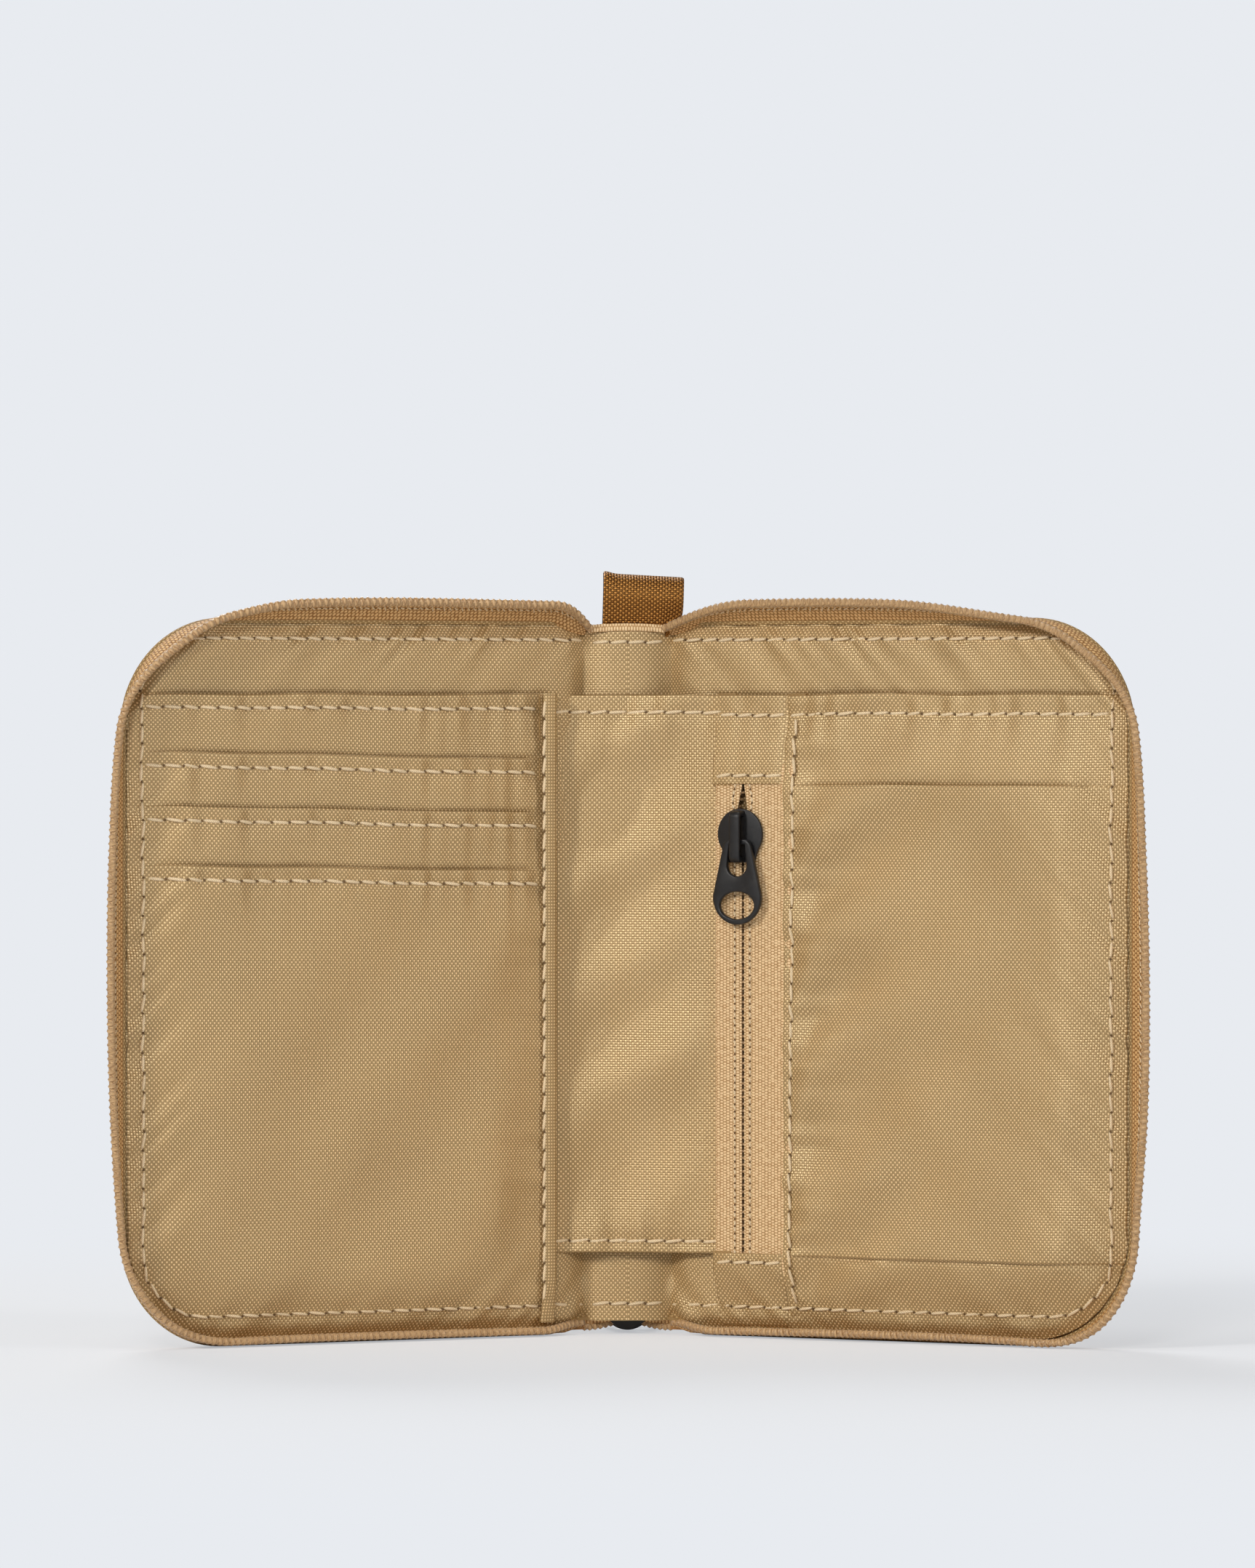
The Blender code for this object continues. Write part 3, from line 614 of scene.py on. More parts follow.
def woven(name, dark, light, pitch, relief, roughness, turned=False, satin=None):
    """Plain weave: one yarn's crossings stand out against the other yarn; satin is its shine's colour."""
    sockets = {"Specular_IOR_Level": 0.4}
    if satin:
        sockets = {"IOR": 1.9, "Specular_IOR_Level": 0.9, "Specular_Tint": satin}
    made = Finish(name, roughness, **sockets)
    uv, across, along = made.cloth()
    if turned:
        across, along = made.math("ADD", across, along), made.math("SUBTRACT", across, along)
    crossing = made.math("MULTIPLY", made.wave(across, pitch[0]), made.wave(along, pitch[1]))
    slub = made.noise(uv, 900.0)
    spot = made.scaled(made.math("ADD", crossing, made.math("MULTIPLY", slub, 0.35)), 0.3, 1.0)
    cast = made.scaled(made.noise(uv, 45.0), 0.3, 0.7)
    low = made.blend(cast, dark, [c * 0.9 for c in dark])
    made.colour(made.blend(spot, low, light))
    made.bump(made.math("SQRT", made.math("ABSOLUTE", crossing)), relief)
    return made.material


def tape_weave(name, dark, light, relief, yarn):
    """Zip tape: rows of raised yarns along the tape, each row set half a yarn on from the last."""
    made = Finish(name, 0.6, Specular_IOR_Level=0.35)
    uv, across, along = made.cloth()
    row = made.math("FLOOR", made.math("DIVIDE", across, yarn[0] * MM))
    slid = made.math("ADD", along, made.math("MULTIPLY", row, yarn[1] / 2 * MM))
    lump = made.math("ABSOLUTE", made.wave(slid, yarn[1]))
    ridge = made.math("ABSOLUTE", made.wave(across, yarn[0]))
    height = made.math("MULTIPLY", lump, made.math("SQRT", ridge))
    fuzz = made.scaled(made.noise(uv, 1100.0), 0.3, 0.75, -0.2, 0.2)
    spot = made.scaled(made.math("ADD", height, fuzz), 0.15, 0.8)
    made.colour(made.blend(spot, dark, light))
    made.bump(height, relief)
    return made.material


def twisted(name, dark, light, pitch, roughness):
    """Thread or monofilament: a slanting twist along its length."""
    made = Finish(name, roughness, Sheen_Weight=0.15, Specular_IOR_Level=0.5)
    _, along, around = made.cloth()
    twist = made.math("ABSOLUTE", made.wave(made.math("ADD", along, around), pitch))
    made.colour(made.blend(made.scaled(twist, 0.1, 0.8), dark, light))
    made.bump(twist, 0.05)
    return made.material


def painted_metal(name):
    """Black paint on a cast zinc zip slider, a little rubbed."""
    made = Finish(name, 0.4, Specular_IOR_Level=0.45)
    place = made.put("ShaderNodeTexCoord").outputs["Object"]
    grain = made.noise(place, 2600.0, 3.0)
    worn = made.scaled(made.noise(place, 420.0, 4.0), 0.5, 0.8)
    made.colour(made.blend(worn, (0.008, 0.008, 0.009), (0.018, 0.017, 0.017)))
    made.wire(made.scaled(grain, 0.3, 0.7, 0.34, 0.5), made.shader.inputs["Roughness"])
    made.bump(grain, 0.012)
    return made.material


LINING_YARNS = ((0.31, 0.19, 0.075), (0.88, 0.66, 0.36))
LINING_SHINE = (1.0, 0.79, 0.48)
WEBBING_YARNS = ((0.05, 0.012, 0.002), (0.56, 0.25, 0.06))
WEBBING_SHINE = (1.0, 0.5, 0.14)
FINISHES = {
    "lining": woven("lining_weave", *LINING_YARNS, (0.435, 0.485), 0.06, 0.34, satin=LINING_SHINE),
    "bias": woven("bias_weave", *LINING_YARNS, (0.62, 0.62), 0.06, 0.34, True, LINING_SHINE),
    "shell": woven("shell_weave", (0.34, 0.205, 0.075), (0.68, 0.48, 0.23), (0.55, 0.6), 0.09, 0.6),
    "webbing": woven("webbing_weave", *WEBBING_YARNS, (0.56, 0.46), 0.12, 0.3, satin=WEBBING_SHINE),
    "tape": tape_weave("tape_weave", (0.46, 0.265, 0.11), (0.90, 0.66, 0.385), 0.1, FINE_YARN),
    "main_tape": tape_weave("main_tape_weave", (0.33, 0.15, 0.042), (0.80, 0.51, 0.23), 0.12, TAPE_YARN),
    "coil": twisted("coil_nylon", (0.34, 0.185, 0.075), (0.58, 0.37, 0.18), 1.1, 0.32),
    "thread": twisted("sewing_thread", (0.60, 0.42, 0.21), (0.93, 0.75, 0.5), 0.45, 0.5),
    # Dark beads between stitches: their colour is painted shade for the needle holes, not a colour of the
    # cloth
    "hole": twisted("needle_hole_painted_shade", (0.12, 0.065, 0.022), (0.17, 0.095, 0.035), 0.5, 0.9),
    "metal": painted_metal("black_paint"),
}


# Stitches
class Stitching:
    """Stitches gathered into one piece: threads, and short dark beads between them whose colour is painted
    shade standing in for the needle holes.
    """

    def __init__(self):
        self.verts, self.faces, self.uvs, self.marks = [], [], [], []

    def bead(self, start, end, normal, radius, mark):
        """A rounded run of thread from start to end, lying on the cloth."""
        along = (end - start).normalized()
        across = along.cross(normal).normalized()
        first = len(self.verts)
        for share, size in ((-0.06, 0.3), (0.08, 0.82), (0.5, 1.0), (0.92, 0.82), (1.06, 0.3)):
            centre = start.lerp(end, share)
            for k in range(6):
                angle = math.pi * k / 3
                turn = across * math.cos(angle) + normal * math.sin(angle)
                self.verts.append(centre + turn * radius * size * MM)
                self.uvs.append((share * (end - start).length, angle * radius * MM))
        rings = grid_faces(5, 6, closed=True)
        rings += [tuple(range(6))[::-1], tuple(range(24, 30))]
        self.faces += [tuple(first + i for i in ring) for ring in rings]
        self.marks += [mark] * len(rings)

    def row(self, line, place, normal, pitch=STITCH_PITCH, length=STITCH_LENGTH, radius=STITCH_RADIUS):
        """Stitches along a line of cloth points (a, b); place gives a cloth point's place in the world."""
        runs = lengths(line)
        count = max(1, round(runs[-1] / pitch))
        pitch = runs[-1] / count

        def at(distance, aside):
            distance = min(max(distance, 0.0), runs[-1])
            i = next(k for k in range(1, len(runs)) if distance <= runs[k] + 1e-6)
            share = (distance - runs[i - 1]) / (runs[i] - runs[i - 1])
            a, b = (mix(p, q, share) for p, q in zip(line[i - 1], line[i]))
            da, db = (q - p for p, q in zip(line[i - 1], line[i]))
            size = math.hypot(da, db)
            return place(a - db / size * aside, b + da / size * aside)

        for k in range(count):
            middle = (k + 0.5) * pitch + scatter.uniform(-0.12, 0.12)
            tilt = STITCH_TILT * radius / STITCH_RADIUS + scatter.uniform(-0.06, 0.06)
            half = length / 2 * scatter.uniform(0.92, 1.04)
            self.bead(at(middle - half, -tilt), at(middle + half, tilt), normal, radius, 0)
            gap = (k + 1) * pitch
            if k < count - 1:
                # A short bead in the dark hole finish, painted shade where a needle hole is
                self.bead(at(gap - 0.18, 0.0), at(gap + 0.18, 0.0), normal, radius * 0.85, 1)

    def piece(self, name, slot, body):
        finishes = [FINISHES["thread"], FINISHES["hole"]]
        piece = new_piece(name, self.verts, self.faces, self.uvs, finishes, self.marks)
        dress(piece, body, ())


# Depths of the visible layers
def tuck(u, z):
    """Share of a layer's full depth, from 0 at the outer seam."""
    return smooth((edge_distance(u, z) - TUCK[0]) / (TUCK[1] - TUCK[0]))


def edge_seam(u, z):
    """Pull of the row of stitches that runs round a leaf, and the fall into the zip's root outside it."""
    fall, low, high = EDGE_FALL
    outside = 1.0 - smooth((edge_distance(u, z) - low) / (high - low))
    right, top = LEAF_WIDTH - EDGE_STITCH, LEAF_HEIGHT - EDGE_STITCH
    return seam_dip(distance_in(u, z, right, FOOT_STITCH, top, SEAM_CORNER), u + z) + fall * outside


def mouth(z, top):
    """How far the cloth behind an open edge falls back just above it."""
    return MOUTH * math.exp(-((max(0.0, z - top) / MOUTH_REACH) ** 2))


def mouth_share(u, left):
    """Share of a mouth's depth, from 0 where its panel is sewn down on either side."""
    return smooth((u - left) / 3) * smooth((LEAF_WIDTH - EDGE_STITCH - u) / 5)


def lining_depth(side):
    """Depth of a leaf's lining, sunk to the valley beside the spine and to the seam at its edge."""

    def depth(u, z):
        n = LINING + CREASE * 0.45 * creases(u, z, 3 + side) * tuck(u, z)
        n -= FOLD_SINK * math.exp(-((u / FOLD_REACH) ** 2))
        n -= mouth(z - sway(u, SWAY_SEEDS[side]), POCKET_TOP) * mouth_share(u, BINDING[0])
        return n - edge_seam(u, z)

    return depth


def card_depth(layer):
    """Depth of the card panel's backing, layer 0, or of one of its slots."""
    top = CARD_TOPS[layer]

    def depth(u, z):
        full = CARD_DEPTHS[layer] + CREASE * creases(u, z, 11) + LAYER_CREASE * creases(u, z, 15 + layer)
        across = smooth((u - BINDING[1]) / 14) * smooth((LEAF_WIDTH - 6 - u) / 16)
        full += CARD_LIP * across * math.exp(-(((top - z) / 9) ** 2))
        full = mix(CARD_HELD[layer], full, smooth((u - BINDING[1]) / 13))
        if layer < len(CARD_TOPS) - 1:
            low = z - sway(u, SWAY_SEEDS[-1]) * 0.4
            full -= mouth(low, CARD_TOPS[layer + 1]) * mouth_share(u, BINDING[1])
        n = mix(CARD_SEAM[layer], full, tuck(u, z))
        return n - edge_seam(u, z) - seam_dip(z - top + SLOT_SEAM, u) - seam_dip(u - BINDING_SEAM, z) * 0.5

    return depth


def left_front(u, z):
    """Depth of the foremost cloth of the left leaf."""
    if u < BINDING[0] or z > CARD_TOPS[0]:
        return lining_depth(-1)(u, z)
    layer = max(i for i, top in enumerate(CARD_TOPS) if z <= top)
    return card_depth(layer)(u, z)


def pocket_rise(z):
    """Share of the zipped pocket's fullness, from 0 at its foot and at its top."""
    return smooth((POCKET_TOP - 2 - z) / 14) * smooth((z - 4) / 11)


def pocket_depth(u, z):
    """Depth of the zipped pocket's front."""
    seam, edge, full = POCKET_DEPTHS
    n = mix(edge, full, pocket_rise(z)) + CREASE * creases(-u, z, 23) * smooth((u - FRONT_LEFT - 3) / 9)
    n += POCKET_DRAG * drag_folds(u - zip_stitch(z), z, DRAG_REACH)
    n -= mouth(z, SLEEVE_HEIGHTS[1]) * mouth_share(u, SLEEVE_LEFT) * (z > SLEEVE_HEIGHTS[1])
    n -= mouth(-z, -SLEEVE_HEIGHTS[0]) * mouth_share(u, SLEEVE_LEFT) * (z < SLEEVE_HEIGHTS[0])
    n = mix(seam, n, tuck(u, z))
    return n - edge_seam(u, z) - seam_dip(z - POCKET_TOP + POCKET_SEAM, u) - seam_dip(u - zip_stitch(z), z)


def zip_stitch(z):
    """Where the row of stitches beside the inner zip runs."""
    return ZIP_SEAM_TOP - (POCKET_TOP - z) / POCKET_TOP


def sleeve_depth(u, z):
    """Depth of the open sleeve over the pocket."""
    low, high = SLEEVE_HEIGHTS
    across = smooth((u - SLEEVE_LEFT) / 18) * smooth((LEAF_WIDTH - 7 - u) / 16)
    open_edge = 0.35 * across * (math.exp(-(((high - z) / 8) ** 2)) + math.exp(-(((z - low) / 8) ** 2)))
    lift = SLEEVE_LIFT * (0.4 + 0.6 * tuck(u, z)) + 0.2 * across * creases(-u, z, 29) + open_edge
    return pocket_depth(u, z) + lift


def tab_depth(u, z):
    """Depth of the tabs over the ends of the inner zip."""
    n = mix(POCKET_DEPTHS[1], ZIP_TAPE + 0.5, pocket_rise(z)) + 0.12 * ripple(u, z, 31, 12)
    n = mix(POCKET_DEPTHS[0], n, tuck(u, z)) - TAB_UNDER * smooth((u - FRONT_LEFT + 1.0) / 1.2)
    rows = (POCKET_TOP - POCKET_SEAM, ZIP_OPENING[1] + TAB_SEAMS[1], ZIP_OPENING[0] - TAB_SEAMS[0])
    return n - edge_seam(u, z) - 0.35 * sum(seam_dip(z - row, u) for row in rows)


def right_front(u, z):
    """Depth of the foremost cloth of the right leaf."""
    if u < ZIP_EDGES[0] or z > POCKET_TOP:
        return lining_depth(1)(u, z)
    if u < FRONT_LEFT:
        return tab_depth(u, z)
    if u > SLEEVE_LEFT and SLEEVE_HEIGHTS[0] < z < SLEEVE_HEIGHTS[1]:
        return sleeve_depth(u, z)
    return pocket_depth(u, z)


# Covers and linings, each half bending from the spine's middle to its leaf
def folded_half(name, nodes, side, depths, inset, finish, facing, fold_u, thickness):
    """Cloth from the middle of the spine over the fold to the leaf's outer edge."""
    spine_depth, leaf_depth = depths
    heights = with_mouths(leaf_heights(None, None, inset), (POCKET_TOP,))
    foot, top = SPINE_HEIGHTS
    spread = steps(0.0, 1.0, 1.3 / LEAF_WIDTH)
    rows = []
    for z in heights:
        right = outer_u(z, inset)
        share = (z - heights[0]) / (heights[-1] - heights[0])
        row = []
        for x in steps(0.0, HINGE_X - 1.2, 1.6):
            row.append((on_spine(side * x, mix(foot, top, share), spine_depth(x, z)), (x, z)))
        for u in [mix(fold_u, right - 7, part) for part in spread] + [right - e for e in EDGE_COLUMNS]:
            low, high = mix(foot, heights[0], smooth(u / 9)), mix(top, heights[-1], smooth(u / 9))
            row.append((on_leaf(side, u, mix(low, high, share), leaf_depth(u, z)), (HINGE_X + u, z)))
        rows.append(row)
    sheet(name, rows, finish, facing, side, nodes, thickness, "stretched")


def spine_front(x, z):
    """How far the spine's lining stands in front of the hinge plane, lowest at its two folds."""
    return SPINE_LINING - SPINE_VALLEY * (abs(x) / HINGE_X) ** 3 + 0.15 * ripple(x, z, 43, 9)


def shell_round(z, u=0.0):
    """Depth of the cover's outer face: crowned in the middle, rounded at the edge."""
    inside = edge_distance(u, z)
    distance = min(max(inside, 0.0), EDGE_ROUND)
    edge = EDGE_ROUND - math.sqrt(max(0.0, EDGE_ROUND**2 - (EDGE_ROUND - distance) ** 2))
    return edge - CROWN * smooth(inside / 22) * smooth(u / 14)


def shell_depth(u, z):
    """Depth of the cover's outer face on a leaf, a little uneven."""
    return shell_round(z, u) + 0.15 * ripple(u, z, 41, 26) * tuck(u, z)


def make_covers():
    for side, hand in SIDES.items():
        inside = leaf_normal(side)
        depths = (lambda x, z: shell_round(z) - HINGE_DEPTH, shell_depth)
        nodes = [hand + "_cover", hand + "_foam"] + ["spine_cover"] * (side < 0)
        folded_half(hand + "_shell", nodes, side, depths, 0.0, "shell", -inside, 0.4, SHELL_CLOTH)
        depths = (spine_front, lining_depth(side))
        nodes = [hand + "_lining"] + ["spine_lining"] * (side < 0)
        folded_half(hand + "_lining_cloth", nodes, side, depths, LINING_INSET, "lining", inside, 0.8, CLOTH)


# Main zip
def edge_point(distance):
    """A point on the leaf's free edge and its outward direction, by distance from the spine's top end."""
    if distance > EDGE_LENGTH / 2:
        (u, z), (out_u, out_z) = edge_point(EDGE_LENGTH - distance)
        return (u, LEAF_HEIGHT - z), (out_u, -out_z)
    if distance < EDGE_RUN:
        return (ZIP_START + distance, LEAF_HEIGHT), (0.0, 1.0)
    angle = math.pi / 2 - min(distance - EDGE_RUN, EDGE_BEND) / CORNER_RADIUS
    out_u, out_z = math.cos(angle), math.sin(angle)
    fall = CORNER_RADIUS * (1 - out_z) + max(0.0, distance - EDGE_RUN - EDGE_BEND)
    return (LEAF_WIDTH - CORNER_RADIUS * (1 - out_u), LEAF_HEIGHT - fall), (out_u, out_z)


def through(keys, x):
    """A smooth curve through keys (x, y), level at both ends."""
    slopes = [0.0]
    for before, after in zip(keys, keys[2:]):
        slopes.append((after[1] - before[1]) / (after[0] - before[0]))
    slopes.append(0.0)
    for i, ((low, start), (high, end)) in enumerate(zip(keys, keys[1:])):
        if x <= high:
            span = high - low
            t = max(0.0, x - low) / span
            bow = t * (1 - t) * span * (slopes[i] * (1 - t) - slopes[i + 1] * t)
            return mix(start, end, smooth(t)) + bow
    return keys[-1][1]


def flare(side, distance):
    """How far the zip tape leans out at a distance along the edge."""
    upper, lower = EDGE_RUN + EDGE_BEND, EDGE_RUN + EDGE_BEND + EDGE_RISE
    keys = (
        (0.0, FLARE_TOP),
        (EDGE_RUN - FLARE_FADE[side], FLARE_TOP),
        (EDGE_RUN + EDGE_BEND * 0.4, FLARE_TOP_CORNER),
        (upper, FLARE_SIDE_TOP),
        (upper + EDGE_RISE / 4, FLARE_UPPER),
        (upper + EDGE_RISE / 2, FLARE_SIDE[side]),
        (lower - EDGE_RISE / 4, FLARE_LOWER[side]),
        (lower, FLARE_SIDE_FOOT[side]),
        (lower + EDGE_BEND / 2, FLARE_BOTTOM_CORNER[side]),
        (lower + EDGE_BEND, FLARE_BOTTOM),
        (EDGE_LENGTH, FLARE_BOTTOM),
    )
    return through(keys, distance)


def zip_lean(side, distance):
    """Lean and depth of the tape's toothed edge; it dives into the spine's top seam and under its foot."""
    tall = math.sin(math.pi / 2 * min(1.0, distance / TOP_RISE[side]))
    end = smooth((EDGE_LENGTH - distance) / FOOT_DIVE)
    lean = flare(side, distance) * tall - FOOT_RISE * (1.0 - end)
    return lean, mix(HINGE_DEPTH, mix(LINING, TAPE_EDGE, tall), end)


def beside_edge(side, distance, offset, n):
    """A leaf point at an offset out from the leaf's free edge."""
    (u, z), (out_u, out_z) = edge_point(distance)
    return on_leaf(side, u + offset * out_u, z + offset * out_z, n)


def tape_point(side, distance, t):
    """A point of a leaf's zip tape, from its root at t = 0 to its toothed edge at t = 1."""
    lean, depth = zip_lean(side, distance)
    root = TAPE_ROOT[0] - TAPE_TURN_IN * (1.0 - smooth(distance / 9))
    offset = mix(root, -SEAM_INSET + lean, t**1.2) + TAPE_BOW * math.sin(math.pi * t)
    return beside_edge(side, distance, offset, mix(TAPE_ROOT[1], depth, t))


def make_main_zip():
    for side, hand in SIDES.items():
        leaf, nodes = hand + "_leaf", [hand + "_zip_coil"]
        make_main_tape(side, hand)
        coil_piece(hand + "_coil_teeth", leaf, nodes, lambda a: main_coil(side, a), EDGE_LENGTH)
        make_zip_foot(side, hand)
        sewn = Stitching()
        line = [(distance, ZIP_SEWN) for distance in steps(4.0, EDGE_LENGTH - 4.0, 4.0)]
        sewn.row(line, lambda a, t: tape_point(side, a, t), leaf_normal(side), COIL_PITCH, 0.95, 0.17)
        sewn.piece(hand + "_tape_stitches", "zip_tape", leaf)


def make_main_tape(side, hand):
    """The tape that stands round a leaf, and the cover's rim outside it."""

    def on_tape(distance, t):
        return tape_point(side, distance, t), (t * TAPE_WIDTH, distance)

    def on_rim(distance, i):
        return beside_edge(side, distance, *RIM_PROFILE[i]), (i * 0.6, distance)

    inside, leaf, nodes = leaf_normal(side), hand + "_leaf", [hand + "_zip_tape"]
    stations = steps(0.0, EDGE_LENGTH, 1.6)
    rows = rows_of(stations, steps(0.0, 1.0, 1 / 8), on_tape)
    sheet(hand + "_tape_cloth", rows, "main_tape", inside, leaf, nodes, TAPE_CLOTH, "stretched")
    rows = rows_of(stations[:-RIM_SHORT], range(len(RIM_PROFILE)), on_rim)
    sheet(hand + "_rim", rows, "shell", inside, leaf, thickness=BIAS_CLOTH)


def make_zip_foot(side, hand):
    """The short end of the coil below the spine's foot, and the strip of tape that it is sewn to."""
    coil_piece(hand + "_coil_end", "spine", [], lambda distance: stub_coil(side, distance), STUB_LENGTH)
    rows = []
    for distance in steps(0.0, STUB_LENGTH, 0.8):
        edge = stub_coil(side, distance)[0]
        root = on_spine(edge.x / MM, SPINE_HEIGHTS[0] + STUB_ROOT[0], STUB_ROOT[1])
        rows.append([(root.lerp(edge, i / 4), (i * 0.7, distance)) for i in range(5)])
    sheet(hand + "_foot_tape", rows, "main_tape", (0, 1, 0), "spine", thickness=TAPE_CLOTH)


def coil_piece(name, body, nodes, place, length, half=COIL_HALF, wire=COIL_WIRE, cord=COIL_CORE):
    """A zip coil with its core cord; place(distance) gives its middle, its teeth's way and the way across.

    A tooth goes straight over the tape's edge, and the wire moves on to the next one behind it.
    """
    points, sides_to, core = [], [], []
    for i in range(round(length / COIL_PITCH) * COIL_TURN + 1):
        turn, part = divmod(i, COIL_TURN)
        share = part / COIL_TURN
        angle = 2 * math.pi * share - math.pi / 2
        centre, teeth, across = place(min((turn + smooth(2 * share - 1)) * COIL_PITCH, length))
        swing = (teeth * half[0] * math.cos(angle) + across * half[1] * math.sin(angle)) * MM
        points.append(centre + swing)
        sides_to.append(swing)
        if not part:
            core.append(centre)
    verts, faces, uvs = tube(points, sides_to, wire, 6)
    more = tube(core, [place(0.0)[1]] * len(core), cord, 8, start=len(verts))
    piece = new_piece(name, verts + more[0], faces + more[1], uvs + more[2], [FINISHES["coil"]])
    dress(piece, body, nodes)


def main_coil(side, distance):
    """Middle, teeth's way and way across of the main zip's coil on a leaf."""
    lean, depth = zip_lean(side, distance)
    plane = Vector((lean, TAPE_EDGE - LINING)).normalized()

    def at(out, n):
        return beside_edge(side, distance, -SEAM_INSET + COIL_LEAN * lean + out, depth + 0.5 + n)

    middle = at(0.0, 0.0)
    return middle, (at(plane.x, plane.y) - middle) / MM, (at(-plane.y, plane.x) - middle) / MM


def inner_coil(hand, distance):
    """The same for one half of the inner zip's coil, behind its tape and close to the middle."""
    z = ZIP_OPENING[0] + distance
    middle = ZIP_CENTRE + hand * (0.95 + 1.8 * (parting(z) - ZIP_GAP))
    depth = ZIP_TAPE - INNER_COIL_DEPTH
    centre = on_leaf(1, middle, z, depth)
    return centre, (on_leaf(1, middle - hand, z, depth) - centre) / MM, leaf_normal(1)


def stub_coil(side, distance):
    """The same for the short end between a leaf's fold and the parked slider."""
    share = distance / STUB_LENGTH
    x = side * mix(HINGE_X, STUB_END, share)
    centre = on_spine(x, mix(*STUB_HEIGHTS, share**2), -PARKED[0] * share**1.5)
    return centre, STUB_TEETH, Vector((0.0, STUB_TEETH.z, -STUB_TEETH.y))


# Left leaf
def make_card_side():
    names = ("card_panel", "card_upper", "card_middle", "card_lower")
    nodes = ("card_panel_back", "card_slot_upper", "card_slot_middle", "card_slot_lower")
    for layer, (name, node) in enumerate(zip(names, nodes)):
        foot, top, next_top = CARD_FEET[layer], CARD_TOPS[layer], CARD_TOPS[layer + 1 : layer + 2]
        panel(name + "_cloth", node, -1, CARD_EDGE, foot, top, card_depth(layer), ("top",), next_top)
    make_binding()


def make_binding():
    """The bias strip folded round the card panel's inner edge."""
    low, high = BINDING_DEPTHS
    edge, end = BINDING
    rows = []
    for z in steps(2.6, CARD_TOPS[0] + 0.3, 1.0):
        wobble = 0.12 * ripple(0, z, 51, 6)
        front = mix(4.4, high, smooth((z - 2) / 10)) + wobble
        line = [(end, low)]
        for a, b in arc((edge + BINDING_ROUND, 0.0), BINDING_ROUND, -90, -270, 8):
            line.append((a + wobble, mix(low, front, (b / BINDING_ROUND + 1) / 2)))
        line += [(end - 1.1, front + 0.1), (end - 0.3, front), (end, front - 0.35)]
        rows.append([(on_leaf(-1, u, z, n), (run, z)) for (u, n), run in zip(line, lengths(line))])
    nodes = ["card_panel_binding"]
    sheet("card_binding_cloth", rows, "bias", leaf_normal(-1), "left_leaf", nodes, BIAS_CLOTH, "folded")


# Right leaf
def pocket_back_depth(u, z):
    """Depth of the zipped pocket's back."""
    return mix(3.3, 3.5, tuck(u, z)) - edge_seam(u, z)


def make_pocket_side():
    low, high = SLEEVE_HEIGHTS
    under = ZIP_EDGES[0] + 0.4
    panel("pocket_back_cloth", "zip_pocket_back", 1, under, None, POCKET_TOP - 1, pocket_back_depth)
    front = ("pocket_front_cloth", "zip_pocket_front", 1, FRONT_LEFT, None, POCKET_TOP, pocket_depth)
    panel(*front, ("top", "left"), (high, low - MOUTH_ROWS[-1]))
    panel("sleeve_cloth", "sleeve_band", 1, SLEEVE_LEFT - 0.6, low, high, sleeve_depth, ("top", "foot"))
    make_tabs()
    make_inner_zip()


def make_tabs():
    """The cloth tabs over the ends of the inner zip, folded at the edge that meets the zip."""
    across = hemmed(steps(ZIP_EDGES[0] + 1, FRONT_LEFT + 3, 1.0), ZIP_EDGES[0])

    def place(station, column):
        (z, back, run), (u, fold, turn) = station, column
        return on_leaf(1, u, z, tab_depth(u, z) - back - fold), (turn, run)

    for which, edge, end in (("top", ZIP_OPENING[1], POCKET_TOP), ("bottom", ZIP_OPENING[0], PANEL_INSET)):
        inward = math.copysign(1, end - edge)
        count = round(abs(end - edge))
        line = hem(edge, inward) + [(z, 0.0, z) for z in (mix(edge, end, k / count) for k in range(1, count))]
        if end > edge:
            line += hem(end, -inward)[::-1]
        rows = rows_of(line, across, place)
        nodes = [f"zip_{which}_tab"]
        sheet(f"zip_{which}_cloth", rows, "lining", leaf_normal(1), "right_leaf", nodes, held="folded")


def parting(z):
    """Half the gap between the inner zip's tapes: nearly shut below the slider, a wedge above it."""
    foot, wide = ZIP_PARTING
    if z < foot:
        return ZIP_GAP
    return mix(wide, 0.1, (z - foot) / (ZIP_OPENING[1] + 0.5 - foot))


def tape_depth(u, z):
    """Depth of the inner zip's tapes."""
    rise = smooth((POCKET_TOP - 4 - z) / 12) * smooth((z - 5) / 11)
    return mix(POCKET_DEPTHS[1] - 0.6, ZIP_TAPE, rise) + 0.12 * ripple(u, z, 61, 14)


def inner_tape_point(side, z, share):
    """A point of one of the inner zip's tapes with its cloth coordinates; the left edge is turned in."""
    u = mix(ZIP_CENTRE + side * parting(z), ZIP_EDGES[side > 0], share)
    fall = 0.25 * math.exp(-(((u - ZIP_CENTRE) / 0.7) ** 2))
    turned = 1.6 * smooth((share - 0.93) / 0.07) if side < 0 else 0.0
    return on_leaf(1, u, z, tape_depth(u, z) - fall - turned), (abs(u - ZIP_CENTRE), z)


